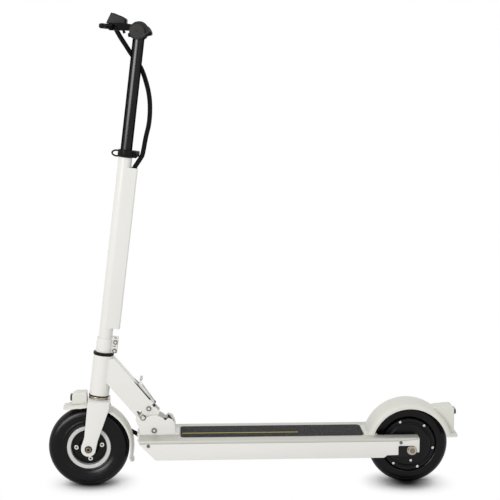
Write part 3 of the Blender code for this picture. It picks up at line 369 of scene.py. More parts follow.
def smoothLine(points, count, closed=False):
    # a curve through all the points: each stretch is the cubic that leaves and arrives along
    # the line between its neighbours, then the points are spread evenly by length
    p = np.array(points, float)
    if closed:
        p = np.vstack([p[-1:], p, p[:2]])
    else:
        p = np.vstack([2 * p[0] - p[1], p, 2 * p[-1] - p[-2]])
    t = np.linspace(0, 1, 16, endpoint=False)[None, :, None]
    p0, p1, p2, p3 = p[:-3, None], p[1:-2, None], p[2:-1, None], p[3:, None]
    fine = 0.5 * (2 * p1 + (p2 - p0) * t + (2 * p0 - 5 * p1 + 4 * p2 - p3) * t ** 2
                  + (3 * p1 - p0 - 3 * p2 + p3) * t ** 3)
    fine = np.vstack([fine.reshape(-1, p.shape[1]), p[-2]])
    walked = np.concatenate([[0], np.cumsum(np.linalg.norm(np.diff(fine, axis=0), axis=1))])
    even = np.linspace(0, walked[-1], count)
    return np.stack([np.interp(even, walked, fine[:, k]) for k in range(p.shape[1])], 1)


def gridSurface(grid, caps=(False, False)):
    # a sheet of four-sided faces over rows and columns, with its end rows closed if asked
    rows, cols = grid.shape[:2]
    first = (np.arange(rows - 1)[:, None] * cols + np.arange(cols - 1)).ravel()
    faces = np.stack([first, first + cols, first + cols + 1, first + 1], 1).tolist()
    if caps[0]:
        faces.append(list(range(cols - 1)))
    if caps[1]:
        faces.append(list(range((rows - 1) * cols, rows * cols - 1)))
    return grid.reshape(-1, 3), faces


def softened(corners, steps):
    # corners that carry a radius are rounded, plain points stay
    rounded = any(len(corner) > 2 for corner in corners)
    return roundCorners(corners, steps) if rounded else np.array(corners, float)


def turned(profile, steps=64, axis="Y", closed=True, soft=4):
    # a profile of (radius, distance along the axis) swung once round that axis
    loop = softened(profile, soft)
    if closed:
        loop = np.vstack([loop, loop[:1]])
    angle = np.linspace(0, 2 * pi, steps + 1)[:, None]
    r, d = loop[:, 0], loop[:, 1] + 0 * angle
    a, b = r * np.cos(angle), r * np.sin(angle)
    return gridSurface(np.stack([a, d, b] if axis == "Y" else [a, b, d], -1))


def rod(radius, low, high, steps=40):
    return turned([(0, low), (radius, low), (radius, high), (0, high)], steps, closed=False)


def collar(inner, outer, low, high, steps=48, axis="Y"):
    return turned([(inner, low), (outer, low), (outer, high), (inner, high)], steps, axis)


def insetLoop(loop):
    # how far each point moves when every side of the loop moves inwards by one
    edge = np.roll(loop, -1, 0) - loop
    edge /= np.maximum(np.linalg.norm(edge, axis=1, keepdims=True), 1e-9)
    inward = np.stack([-edge[:, 1], edge[:, 0]], 1)
    before = np.roll(inward, 1, 0)
    return (inward + before) / np.maximum(1 + (inward * before).sum(1), 0.35)[:, None]


def slab(outline, low, high, edge=0.8, across="Y", steps=3, soft=4):
    # an outline pushed from low to high, its two rims rounded by quarter circles
    loop = softened(outline, soft)
    turn = loop[:, 0] * np.roll(loop[:, 1], -1) - np.roll(loop[:, 0], -1) * loop[:, 1]
    if turn.sum() < 0:
        loop = loop[::-1]
    t = np.linspace(0, pi / 2, steps + 1)
    shrink, climb = edge * (1 - np.sin(t)), edge * (1 - np.cos(t))
    inset = np.concatenate([shrink, shrink[::-1]])[:, None, None]
    level = np.concatenate([low + climb, high - climb[::-1]])[:, None]
    loops = loop + insetLoop(loop) * inset
    loops = np.concatenate([loops, loops[:, :1]], 1)
    a, b, level = loops[..., 0], loops[..., 1], level + 0 * loops[..., 0]
    order = {"Y": [a, level, b], "Z": [a, b, level], "X": [level, a, b]}[across]
    return gridSurface(np.stack(order, -1), (True, True))


def block(x, y, z, edge=0.5):
    return slab([(x[0], z[0]), (x[1], z[0]), (x[1], z[1]), (x[0], z[1])], y[0], y[1], edge)


def alongPath(path, radius, steps=24, reference=(1, 0, 1)):
    # a circle carried along a path: centre, plus the radius times two directions square to it
    tangent = np.gradient(path, axis=0)
    tangent /= np.linalg.norm(tangent, axis=1, keepdims=True)
    across = np.cross(tangent, np.array(reference, float))
    across /= np.linalg.norm(across, axis=1, keepdims=True)
    up = np.cross(across, tangent)
    angle = np.linspace(0, 2 * pi, steps + 1)
    ring = (across[:, None] * np.cos(angle)[None, :, None]
            + up[:, None] * np.sin(angle)[None, :, None])
    size = np.broadcast_to(radius, (len(path), steps + 1))
    return path[:, None] + ring * size[..., None]


def gather(*surfaces):
    # several surfaces as one set of points and faces
    starts = np.cumsum([0] + [len(points) for points, _ in surfaces])
    faces = [[k + int(start) for k in face] for (_, one), start in zip(surfaces, starts)
             for face in one]
    return np.vstack([points for points, _ in surfaces]), faces


def moved(surface, *places):
    # copies of a surface at several places
    points, faces = surface
    return gather(*[(points + np.array(place, float), faces) for place in places])


def mirrored(surface):
    return surface[0] * (1, -1, 1), surface[1]


def bothWays(surface, *places):
    # copies at the places, then the same number of left-right mirrored copies
    places = places or [(0, 0, 0)]
    return gather(moved(surface, *places), moved(mirrored(surface), *places))


def at(where, *surfaces):
    # surfaces made about the origin, carried together to where they stand
    points, faces = gather(*surfaces)
    return where[0] + points @ where[1], faces


def boltCircle(radius, turns):
    return radius * np.stack([np.cos(turns), 0 * turns, np.sin(turns)], 1)


def makeMesh(name, surface, uv=None):
    points, faces = surface
    mesh = bpy.data.meshes.new(name)
    mesh.from_pydata(metres(points).tolist(), [], faces)
    if uv is not None:
        corner = np.zeros(len(mesh.loops), np.int32)
        mesh.loops.foreach_get("vertex_index", corner)
        mesh.uv_layers.new(name="UVMap").data.foreach_set("uv", uv.reshape(-1, 2)[corner].ravel())
    work = bmesh.new()
    work.from_mesh(mesh)
    bmesh.ops.remove_doubles(work, verts=work.verts, dist=2e-6)
    bmesh.ops.dissolve_degenerate(work, edges=work.edges, dist=1e-7)
    bmesh.ops.recalc_face_normals(work, faces=work.faces)
    work.to_mesh(mesh)
    work.free()
    return mesh


def asMesh(name, shape):
    return makeMesh(name, shape) if isinstance(shape, tuple) else shape


def makePiece(name, shape, finish, body, stands=None, sharp=32.0):
    # the shape is a surface or a mesh, and stands names the CAD node that it stands for
    mesh = asMesh(name, shape)
    mesh.materials.clear()
    mesh.materials.append(finishes[finish])
    mesh.shade_smooth()
    mesh.set_sharp_from_angle(angle=radians(sharp))
    piece = bpy.data.objects.new(name, mesh)
    bpy.context.scene.collection.objects.link(piece)
    if body:
        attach(piece, body)
    if stands:
        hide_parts(stands)
    return piece


def carve(shape, *tools, operation="DIFFERENCE"):
    # takes the tools' solids from a shape, or adds them to it
    scene = bpy.context.scene.collection
    work = bpy.data.objects.new("work", asMesh("work", shape))
    scene.objects.link(work)
    helpers = []
    for tool in tools:
        helper = bpy.data.objects.new("tool", makeMesh("tool", tool))
        scene.objects.link(helper)
        helpers.append(helper)
        cutter = work.modifiers.new("carve", "BOOLEAN")
        cutter.operation, cutter.object, cutter.solver = operation, helper, "EXACT"
    bpy.context.view_layer.update()
    done = bpy.data.meshes.new_from_object(
        work.evaluated_get(bpy.context.evaluated_depsgraph_get()))
    for old in [work] + helpers:
        bpy.data.objects.remove(old)
    return done


def softCopy(node, name, finish, body, width=0.8, segments=3, sharp=30.0, tools=()):
    # a CAD node's own shape, merged, with its sharp edges rounded as casting and paint leave them
    work = bmesh.new()
    work.from_mesh(frame["nodes"][node].data)
    bmesh.ops.remove_doubles(work, verts=work.verts, dist=4e-6)
    bmesh.ops.dissolve_limit(work, angle_limit=radians(0.4), verts=work.verts, edges=work.edges)
    mesh = bpy.data.meshes.new(name)
    work.to_mesh(mesh)
    work.free()
    if tools:
        mesh = carve(mesh, *tools)
    piece = makePiece(name, mesh, finish, body, node, sharp)
    edge = piece.modifiers.new("edges", "BEVEL")
    edge.width, edge.segments, edge.limit_method = width * 0.001, segments, "ANGLE"
    edge.angle_limit, edge.harden_normals = radians(sharp), True
    return piece


def socketHead(radius, height, socket, depth, steps=48, edge=0.7):
    # rings from the foot of a screw head up over its rim and down into a six-sided socket
    angle = np.linspace(0, 2 * pi, steps + 1)
    six = 1 / np.cos((angle % (pi / 3)) - pi / 6)
    ones = np.ones_like(angle)
    rings = [(0, 0, ones), (radius, 0, ones), (radius, height - edge, ones),
             (radius - 0.3 * edge, height - 0.3 * edge, ones), (radius - edge, height, ones),
             (socket + 0.35, height, six), (socket, height - 0.35, six),
             (socket, height - depth, six), (0, height - depth, ones)]
    r = np.stack([size * form for size, _, form in rings])
    h = np.array([level for _, level, _ in rings])[:, None] + 0 * r
    return gridSurface(np.stack([r * np.cos(angle), -h, r * np.sin(angle)], -1))


def hexNut(flats, bore, low, high, steps=72):
    # at each angle the smaller of a hexagon and of a cone that takes its corners off
    angle = np.linspace(0, 2 * pi, steps + 1)
    six = flats / 2 / np.cos((angle % (pi / 3)) - pi / 6)
    level = np.array([low, low, low + 1.3, high - 1.3, high, high])[:, None]
    cone = np.array([bore, flats / 2 - 0.2, flats, flats, flats / 2 - 0.2, bore])[:, None]
    r = np.minimum(six, cone + 0 * angle)
    loops = np.stack([r * np.cos(angle), level + 0 * r, r * np.sin(angle)], -1)
    return gridSurface(np.concatenate([loops, loops[:1]]))


# ---- wheels

tyre = {
    # half a section as (radius, half width) from the bead over the shoulder to the crown
    "section": [(58.4, 18.6), (60.4, 20.6), (64.0, 22.2), (70.0, 23.3), (77.0, 24.0), (84.0, 23.8),
                (90.0, 22.4), (94.5, 19.6), (97.6, 15.2), (99.2, 10.0), (99.9, 5.0)],
    "frontLip": [(55.0, 18.9), (55.4, 20.4), (57.0, 21.2), (60.0, 21.0)],
    "grooves": (-10.5, -3.5, 3.5, 10.5), "grooveDepth": 1.8, "grooveHalf": 0.8,
    "beads": (66.5, 91.0), "beadHeight": 0.55,
}


def makeTyre(which, hub, bore, lip=()):
    # half of the section runs from the bore over the side to the crown; the other half mirrors
    # it, then grooves sink the crown and thin raised rings run round the sides
    half = np.array([(bore, 15.0), (bore + 0.4, 17.6)] + tyre["section"])
    half = half[(half[:, 0] > bore + 0.8) | (np.arange(len(half)) < 2)]
    if lip:
        half = np.vstack([half[:2], lip, half[half[:, 0] > 62]])
    line = smoothLine(np.vstack([half, [(100.0, 0.0)], (half * (1, -1))[::-1]]), 320)
    r, y = line.T
    for place in tyre["grooves"]:
        dip = np.exp(-np.abs((y - place) / tyre["grooveHalf"]) ** 6)
        r = r - np.where(r > 92, tyre["grooveDepth"], 0) * dip
    for place in tyre["beads"]:
        lift = np.exp(-((r - place) / 0.8) ** 4) * tyre["beadHeight"]
        y = y + np.where(np.abs(y) > 15, np.sign(y), 0) * lift
    surface = turned(np.stack([np.minimum(r, 100), np.clip(y, -24, 24)], 1), 144)
    makePiece(which + "Tyre", at(hub, surface), which + "Rubber", which + "_wheel",
              which + "_tyre", 45)


frontWheel = {
    # half of each profile, as radius, place along the axle and rounding
    "band": [(44.4, -3.5), (44.4, -20.0), (45.4, -21.0, 0.6), (53.6, -21.2, 0.8),
             (54.6, -18.4, 0.5), (57.6, -17.4)],
    "disc": [(13.3, -21.8, 0.8), (18.0, -21.8, 1.5), (20.5, -18.6, 3.0), (24.0, -7.0, 4.0),
             (44.4, -6.2)],
    # the bolts sit in the dish: how far out, from which angle, how many, and how deep
    "screwRing": 31.8, "screwTurn": 5.4, "screws": 4, "screwFace": 6.4,
}


def makeFrontWheel():
    makeTyre("front", frontHub, 57.8, tyre["frontLip"])
    band = turned(evenly(frontWheel["band"]), 128)
    disc = turned(evenly(frontWheel["disc"]), 96)
    makePiece("frontRimBand", at(frontHub, band), "rimSilver", "front_wheel", "front_rim")
    makePiece("frontHubDisc", at(frontHub, disc), "hubBlack", "front_wheel")
    count = frontWheel["screws"]
    turns = np.radians(frontWheel["screwTurn"] + 360 * np.arange(count) / count)
    seats = boltCircle(frontWheel["screwRing"], turns) - (0, frontWheel["screwFace"], 0)
    # the dark discs laid in the bottom of each screw's socket are painted shade in the sockets
    head, well = socketHead(5.8, 2.6, 2.1, 1.9), rod(2.5, -1.0, -0.8, 24)
    makePiece("frontHubScrews", at(frontHub, bothWays(head, *seats)), "brightSteel",
              "front_wheel")
    makePiece("frontHubSockets", at(frontHub, bothWays(well, *seats)), "blackCap", "front_wheel")
    for which, sign in (("Left", -1), ("Right", 1)):
        seal = roundCorners([(7.6, 18.2, 0.3), (12.4, 18.2, 0.3), (12.4, 20.6, 0.4),
                             (7.6, 20.6, 0.4)], 3) * (1, sign)
        makePiece("bearingSeal" + which, at(frontHub, turned(seal, 48)), "blackCap",
                  "front_wheel")


rearWheel = {
    "cover": [(6.3, -33.0), (13.0, -33.0, 0.8), (14.5, -31.9, 0.8), (26.0, -32.9, 1.0),
              (27.5, -31.2, 1.0), (50.5, -31.0, 1.4), (53.5, -28.2, 0.9), (55.2, -28.2, 0.6),
              (56.2, -27.0, 0.6), (57.4, -28.2, 0.6), (64.6, -28.2, 1.0), (66.0, -26.4, 0.8),
              (66.0, -23.7), (6.3, -23.7)],
    "shell": [(60.0, -23.4), (66.0, -23.4), (66.0, 26.0, 0.8), (64.4, 28.0, 1.0),
              (57.4, 28.0, 0.6), (56.2, 26.9, 0.6), (55.2, 28.0, 0.6), (53.5, 28.0, 0.8),
              (50.5, 31.2, 1.4), (14.0, 32.8, 1.0), (6.3, 33.0), (6.3, 22.0), (60.0, 22.0)],
    "screwRing": 61.0, "screwTurn": 38.5, "screws": 6, "screwFace": 27.9,
    "smallScrew": (5.2, -31.0, -40.0),
}


def makeRearWheel():
    makeTyre("rear", rearHub, 66.3)
    for name in ("cover", "shell"):
        surface = turned(rearWheel[name], 128)
        makePiece("motor" + name.capitalize(), at(rearHub, surface), "motorBlack", "rear_wheel",
                  "motor_" + name)
    turns = pi / 2 - np.radians(rearWheel["screwTurn"] + 60 * np.arange(rearWheel["screws"]))
    seats = boltCircle(rearWheel["screwRing"], turns) - (0, rearWheel["screwFace"], 0)
    head = socketHead(3.3, 1.9, 1.25, 1.3, 36, 0.8)
    screws = gather(moved(head, *seats, rearWheel["smallScrew"]), moved(mirrored(head), *seats))
    makePiece("motorScrews", at(rearHub, screws), "brightSteel", "rear_wheel")


makeFrontWheel()
makeRearWheel()
print("wheels built")


# ---- deck

deck = {
    # half the width, the tray's sheet, the board's top, and each lip's thickness and underside
    "half": 84.5, "sheet": 3.0, "top": 131.0, "lip": (2.6, 123.6),
    "side": [(125.0, 122.9, 1.5), (166.0, 82.0, 6.0), (728.0, 82.0, 2.0), (735.0, 88.0, 2.0),
             (763.0, 88.5, 1.0), (763.0, 111.5, 3.0)],
    "tail": [(808.5, 96.0, 1.0), (811.5, 93.5, 1.5), (815.0, 96.0, 1.0), (815.0, 128.7, 0.5),
             (770.0, 122.9)],
    # place along X and Z, and radius
    "screws": {"noseScrews": (148.2, 118.4, 4.2), "armScrews": (769.0, 119.6, 4.0)},
    "chargePort": (215, 104), "plateRound": 3.6,
}


def makeDeck():
    # the foot of the rear arm is an arc about the axle
    side = roundCorners(deck["side"] + arc(rearAxle, 11.5, 90, 0, 10) + deck["tail"], 5)
    half, inner, top = deck["half"], deck["half"] - deck["sheet"], deck["top"]
    hold = slab([(129.5, 140), (129.5, 125.5), (167.5, 85), (675, 85), (675, 140)], -inner, inner,
                0.4)
    well = block((678, 830), (-50, 50), (60, 150), 0.4)
    arm = [(678, 140), (678, 85), (728, 85), (733, 91.5), (742, 92), (742, 70), (812.3, 70),
           (812.3, 140)]
    port = at(frameAt(*deck["chargePort"]), rod(11.3, 78, 90))
    tray = carve(slab(side, -half, half, 0.9), hold, well, slab(arm, -inner, -53, 0.4),
                 slab(arm, 53, inner, 0.4), port)
    makePiece("deckTray", tray, "whitePaint", "deck", "deck_tray")

    r = deck["plateRound"]
    lip, under = deck["lip"]
    # from under one lip round to the top, where a shallow groove runs inside the rail
    rail = roundCorners(evenly([(half - lip, 126.4), (half - lip, under), (half, under),
                                (half, top, r), (half - 9, top), (half - 10, top - 0.8),
                                (half - 11, top)], (-1, 1)), 6)
    # the lips run out towards the end of the arms
    wedge = slab([(772, 120), (772, 123.6), (830, 131.4), (830, 120)], -90, 90, 0.1)
    plate = carve(slab(rail, 125.4, 815, 0.7, "X"),
                  block((692, 830), (-50, 50), (100, 150), 0.3), wedge)
    makePiece("runningBoard", plate, "silverPlate", "deck", "deck_plate")
    makePiece("noseCover", block((121.0, 126.4), (-46, 4), (119.5, 133.4), 1.2), "whitePaint",
              "deck")
    tape = roundCorners([(227, -52, 9), (682, -52, 12), (682, 52, 12), (227, 52, 9)], 8)
    makePiece("gripTape", slab(tape, 131.3, 132.3, 0.4, "Z"), "darkGrit", "deck", "grip_tape")
    for name, (x, z, size) in deck["screws"].items():
        head = socketHead(size, 2.2, size * 0.35, 1.5, 40, 0.9)
        makePiece(name, bothWays(head, (x, 0.3 - half, z)), "greyBolt", "deck")


def screwSet(name, body, where, out, radius, height, shank, stands, dark=0.55):
    # a screw right through a body, with a round head on both sides: a dark flange, which is a
    # darker copy of the head's steel and so painted shade round it, a bright middle and a small
    # dark socket
    foot, top, rim = -out, -out - height, radius * dark
    flange = turned([(0, foot), (radius, foot, 0.2), (radius, top, 0.7), (rim, top, 0.3),
                     (rim, top + 0.5), (0, top + 0.5)], 48, closed=False, soft=3)
    face = turned([(0, top + 0.6), (rim - 0.2, top + 0.6), (rim - 0.3, top - 0.1),
                   (radius * 0.2, top - 0.1), (radius * 0.2, top + 0.2), (0, top + 0.2)], 32,
                  closed=False)
    shaft = rod(shank, -out - 0.2, out + 0.2, 32)
    makePiece(name, at(where, bothWays(flange), shaft), "greyBolt", body, stands)
    makePiece(name + "Faces", at(where, bothWays(face)), "brightSteel", body)


bracket = {
    # how far the two horns and the notch lie from the fold pin, and each cheek's two faces
    "horn": 53.0, "fang": 46.5, "notch": 36.7, "cheek": (26.0, 31.0), "round": 1.3,
    # a dark sheet on the inner face of each cheek stands for the shade between the cheeks, painted
    # shade; the folded latch pin rests in its hollow
    "shadePad": [(195.6, 179.4, 1), (200.2, 177.4, 2), (211.0, 162.4, 2), (207.0, 158.0, 2),
            (197.0, 166.0, 4), (187.0, 164.0, 1), (185.4, 170.6, 0.5), (190.2, 168.9, 2),
            (195.6, 171.2, 1)],
    "farShadePadDrop": 9,
}


def makeBracket():
    fold = foldPin[0][[0, 2]]

    def ray(r, a):
        return fold + r * np.array((cos(radians(a)), sin(radians(a))))

    front = [(120, 131.0), (120, 134.3, 0.8), (126.2, 134.3, 1.5), (125, 150, 3),
             (116, 171, 2), (117.5, 176, 2), (*ray(bracket["horn"], 138.5), 2)]
    back = [(*ray(bracket["fang"], 41.5), 2.0), (208, 170, 4), (213, 160, 6), (215, 150, 6),
            (215, 134.3, 1.5), (224, 134.3, 0.8), (224, 131.0)]
    # the notch between the two horns is one arc about the fold pin
    outline = roundCorners(front + arc(fold, bracket["notch"], 138.5, 40, 24) + back, 4)
    near, far = bracket["cheek"]
    cheeks = carve(slab(outline, -far, far, bracket["round"]),
                   block((90, 250), (-near, near), (134.3, 210), 0.3),
                   at(foldPin, rod(4.3, -40, 40)))
    makePiece("foldBracket", cheeks, "whitePaint", "deck", "fold_bracket")
    screwSet("foldBolt", "deck", foldPin, 31.3, 6.6, 3.0, 4.0, "fold_pivot_bolt")
    # dark sheets that stand for the shade between the two cheeks: painted shade
    shadePad = slab(bracket["shadePad"], -25.9, -24.2, 0.5)
    shadePads = gather(shadePad, moved(mirrored(shadePad), (0, 0, -bracket["farShadePadDrop"])))
    makePiece("cheekBuffers", shadePads, "blackMatte", "deck")


makeDeck()
makeBracket()
print("deck and fold bracket built")


# ---- rear fender, tail light, axle

fenders = {
    # half of the outer and of the inner line, the radius that they hang from, the first and last
    # turn about the axle in degrees; then where each end starts to rise off the tyre, by how much
    # and how steeply, and where the skirts start to thin out and by what share
    "rear": {"outer": [(48.0, -15.5), (47.5, -9.5), (44.4, -5.4), (38.3, -2.5), (28.0, -0.7),
                       (0.0, 0.0)],
             "inner": [(45.6, -15.5), (45.1, -10.3), (42.4, -7.3), (37.2, -4.8), (27.6, -3.1),
                       (0.0, -2.4)],
             "radius": 110.0, "turns": (-77.0, 79.3), "lips": (None, (75.8, 16.2, 1.4)),
             "thin": None},
    "front": {"outer": [(32.3, -9.5), (31.6, -6.2), (28.2, -3.6), (21.5, -1.6), (11.0, -0.4),
                        (0.0, 0.0)],
              "inner": [(30.1, -9.5), (29.5, -7.0), (26.8, -5.3), (20.8, -3.7), (10.8, -2.6),
                        (0.0, -2.2)],
              "radius": 112.0, "turns": (-31.0, 108.0),
              "lips": ((-11.0, 7.5, 0.8), (104.0, 5.8, 1.3)), "thin": (-26.0, 0.7)},
}


def fenderSurface(look, axle):
    # a shallow U-shaped section swung about the axle; towards its ends it lifts off the tyre
    outer = smoothLine(look["outer"] + [(-y, r) for y, r in reversed(look["outer"][:-1])], 48)
    inner = smoothLine([(-y, r) for y, r in look["inner"]]
                       + list(reversed(look["inner"][:-1])), 48)
    loop = np.vstack([outer, inner])
    loop = np.vstack([loop, loop[:1]])
    turns = np.linspace(*look["turns"], 110)
    lift = 0 * turns
    for lip, end, sign in zip(look["lips"], look["turns"], (-1, 1)):
        if lip:
            share = np.clip((turns - lip[0]) / (end - lip[0]), 0, 1)
            lift = lift + lip[1] * share ** lip[2]
    depth = 1 + 0 * turns
    if look["thin"]:
        start, loss = look["thin"]
        depth = 1 - loss * np.clip((turns - start) / (look["turns"][0] - start), 0, 1) ** 2
    r = look["radius"] + loop[:, 1] * depth[:, None] + lift[:, None]
    a = np.radians(turns)[:, None]
    x, z = axle[0] + r * np.sin(a), axle[1] + r * np.cos(a)
    return gridSurface(np.stack([x, loop[:, 0] + 0 * x, z], -1), (True, True))


def makeRearEnd():
    fender = carve(fenderSurface(fenders["rear"], rearAxle),
                   block((630, 715), (-70, 70), (60, 131.4), 0.1),
                   block((893, 960), (-70, 70), (60, 122.0), 0.1))
    makePiece("rearFender", fender, "creamPlastic", "deck", "rear_fender", 40)
    flange = [(684, -49.8, 3), (716, -49.8, 3), (716, -28, 3), (697, -27, 3), (697, 27, 3),
              (716, 28, 3), (716, 49.8, 3), (684, 49.8, 3)]
    makePiece("fenderFoot", slab(flange, 129.6, 131.4, 0.4, "Z"), "creamPlastic", "deck")

    back = [(865.5, 192.8, 3), (906, 195.7, 4), (911.5, 189.7, 3), (911.5, 129.7, 2.5)]
    outline = roundCorners(arc(rearAxle, 108.9, 14, 56, 24) + back, 5)
    makePiece("tailHousing", slab(outline, -24, 24, 2.2, steps=5), "creamPlastic", "deck",
              "tail_light_housing", 40)
    lens = slab(rectangle((-19, 19), (173.7, 186.2), 5, 8), 911.6, 917.3, 4.6, "X", 8)
    makePiece("tailLens", lens, "redLens", "deck", "tail_light_lens", 50)

    for which in ("left", "right"):
        softCopy("dropout_" + which, "dropout" + which.capitalize(), "blackSteel", "deck", 0.7)
    nut = gather(hexNut(19.0, 6.3, 82.0, 90.0), collar(6.3, 12.4, 81.5, 82.2))
    for which, shape in (("left", mirrored(nut)), ("right", nut)):
        makePiece("axleNut" + which.capitalize(), at(rearHub, shape), "warmSteel", "deck",
                  "axle_nut_" + which, 25)
    # a thread: the radius rises and falls once for each pitch along the axle and each turn
    y = np.concatenate([np.linspace(-93, -80, 90), np.linspace(-79, 79, 20),
                        np.linspace(80, 93, 90)])[:, None]
    angle = np.linspace(0, 2 * pi, 41)
    wave = np.abs(((y / 1.25 + angle / (2 * pi)) % 1) * 2 - 1)
    r = 6.0 - 0.55 * wave * (np.abs(y) > 80) * (np.abs(y) < 92.4)
    r = np.where(np.abs(y) > 92.4, 5.5, r)
    axle = np.stack([r * np.cos(angle), y + 0 * r, r * np.sin(angle)], -1)
    makePiece("rearAxle", at(rearHub, gridSurface(axle, (True, True))), "bronzeSteel", "deck",
              "rear_axle", 60)


makeRearEnd()
print("rear end built")


# ---- front frame

def makeFrontFrame():
    softCopy("head_frame", "headFrame", "whitePaint", "front_frame", 1.4, 4, 26)
    # weld beads: small round beads that follow where the down tube meets the head tube
    s = np.linspace(262, 322, 120)
    u = np.sqrt(24.5 ** 2 - 19.6 ** 2)
    size = 0.8 + 0.2 * np.abs(np.sin(s * 0.9))
    beads = []
    for y in (-19.9, 19.9):
        path = np.stack([u + 0 * s, y + 0 * s, s], 1)
        beads.append(gridSurface(alongPath(path, size[:, None], 14, (1, 0, 0.2)), (True, True)))
    makePiece("weldBeads", at(stem, *beads), "whitePaint", "front_frame")
    for name, node, low, high in (("upperCup", "upper_headset_cup", 332.7, 339.7),
                                  ("lowerCup", "lower_headset_cup", 228.4, 231.4)):
        line = (low + high) / 2
        cup = [(14.6, low), (24.6, low, 0.8), (25.5, low + 1.6, 1.0), (25.5, line + 0.6, 0.8),
               (24.8, line + 1.0, 0.4), (25.4, line + 1.5, 0.4), (25.4, high - 0.6, 0.6),
               (24.2, high, 0.6), (14.6, high)]
        makePiece(name, at(stem, turned(cup, 96, "Z")), "blackCap", "front_frame", node)
    low, high = 225.8, 228.3
    race = [(14.6, low), (24.4, low, 0.8), (25.0, low + 1.2, 0.8), (24.4, high, 0.6), (14.6, high)]
    makePiece("lowerRace", at(stem, turned(race, 96, "Z")), "warmSteel", "front_frame")
    screwSet("leverBolt", "front_frame", leverPin, 20.3, 6.0, 3.4, 4.0, "lever_pivot_bolt", 0.6)
    # dark bands along the top edges of the down tube, under the lever's arms, and a dark spot
    # behind each: painted shade of the gap between lever and tube
    gapShadeStrip = [(76, 0.0), (84, 1.0, 2), (136, 1.0, 0.5), (138, -1.8, 0.5), (120, -1.4, 4),
             (84, -0.8, 4)]
    gapShadeBlob = [(149, -5, 1), (150, 1.6, 1), (157, 1.2, 1), (157, -5.5, 1)]
    gapShades = at(tube, slab(gapShadeStrip, -20.4, -16.0, 0.4), slab(gapShadeStrip, 16.0, 20.4, 0.4),
                slab(gapShadeBlob, -20.6, -15.4, 0.6), slab(gapShadeBlob, 15.4, 20.6, 0.6))
    makePiece("leverStrips", gapShades, "blackMatte", "front_frame")
    # the sides of the down tube reach on over the fold pin as far as the folded deck allows
    lug = [(150, 200), (157.8, 207.4, 1.5), (176.0, 188.5, 3), (169.5, 170.2, 2), (158, 166)]
    lugs = gather(slab(lug, -19.95, -15.4, 0.7), slab(lug, 15.4, 19.95, 0.7))
    makePiece("tubeLugs", lugs, "whitePaint", "front_frame")


def makeReleaseLever():
    softCopy("release_lever", "releaseLever", "whitePaint", "release", 1.1, 3, 30)
    tip = roundCorners([(82.0, 12.9, 1.0), (79.6, 16.2, 1.5), (82.5, 20.2, 2.2),
                        (86.5, 18.8, 2.0), (87.4, 15.1, 1.0)], 5)
    makePiece("leverTip", at(tube, slab(tip, -15, 15, 2.0)), "greyPlastic", "release",
              "lever_tip")
    pin = evenly([(0, -33.0), (5.0, -33.0, 1.0)])
    makePiece("latchPin", at(latchPin, turned(pin, 48, closed=False)), "brightSteel", "release",
              "latch_pin")
    clip = turned([(4.9, 31.4, 0.1), (6.4, 31.4, 0.3), (6.4, 32.4, 0.3), (4.9, 32.4, 0.1)], 40,
                  soft=3)
    makePiece("pinClips", at(latchPin, bothWays(clip)), "darkBolt", "release")


fork = {
    # each blade's two faces, its end's radius, and the steerer's radii, foot and top
    "blade": (35.0, 42.0), "end": 18.3, "steerer": (11.5, 14.2, 200, 385.0),
    # the side of crown and blade: front edge down to the axle, then the rear edge up
    "front": [(0.0, 223.3, 1), (-2.0, 204.0, 2), (-10.0, 130.0, 8), (-17.0, 109.0, 4)],
    "rear": [(23.2, 121.0, 6), (48.0, 190.0, 3), (52.0, 200.0, 2), (52.0, 216.9, 1.5)],
}


def makeFork():
    inner, outer = fork["blade"]
    outline = roundCorners(fork["front"] + arc(frontAxle, fork["end"], 160, 336, 24)
                           + fork["rear"], 5)
    crown = carve(slab(outline, -outer, outer, 1.6), at(frontHub, rod(112.5, -inner, inner, 128)),
                  at(frontHub, rod(6.3, -60, 60)))
    crown = carve(crown, at(stem, collar(*fork["steerer"], 72, "Z")), operation="UNION")
    makePiece("forkCrown", crown, "whitePaint", "steering", "fork", 30)
    race = [(14.6, 222.3), (25.0, 222.3, 0.5), (25.0, 223.6, 0.5), (23.4, 225.5, 0.6),
            (14.6, 225.5)]
    makePiece("crownRace", at(stem, turned(race, 96, "Z")), "warmSteel", "steering", "crown_race")

    head = moved(socketHead(6.6, 4.7, 3.2, 3.0, edge=0.8), (0, -42.3, 0))
    shaft = turned([(0, -42.5), (6.0, -42.5), (6.0, 51.0), (5.2, 52.0), (0, 52.0)], 40,
                   closed=False)
    makePiece("frontAxle", at(frontHub, head, shaft), "bronzeSteel", "steering", "front_axle")
    # a dark ring under the axle's head and a dark disc in its socket: painted shade round and
    # inside the head
    seat = turned([(6.3, -43.2, 0.2), (9.2, -43.2, 0.3), (9.2, -41.8), (6.3, -41.8)], 48, soft=3)
    makePiece("axleSeat", at(frontHub, seat, rod(3.3, -44.2, -44.0, 24)), "darkBolt", "steering")
    nut = at(frontHub, hexNut(16.5, 6.3, 42.8, 49.5), collar(6.3, 9.6, 42.3, 42.9))
    makePiece("frontAxleNut", nut, "brightSteel", "steering", "front_axle_nut", 25)

    makePiece("frontFender", fenderSurface(fenders["front"], frontAxle), "creamPlastic",
              "steering", "front_fender", 40)
    housing = roundCorners([(-3.0, 210.9), (-17.4, 209.6), (-27.3, 209.6), (-35.5, 209.0),
                            (-40, 208.6, 3), (-40, 232, 5), (-30, 237.5, 5), (-4, 238, 3)], 5)
    makePiece("lampHousing", slab(housing, -20, 20, 2.2, steps=5), "creamPlastic", "steering",
              "headlight_housing", 40)
    lens = slab(rectangle((-14, 14), (216, 231), 6, 8), -45, -40.3, 4.2, "X", 8)
    makePiece("lampLens", lens, "smokedLens", "steering", "headlight_lens", 50)


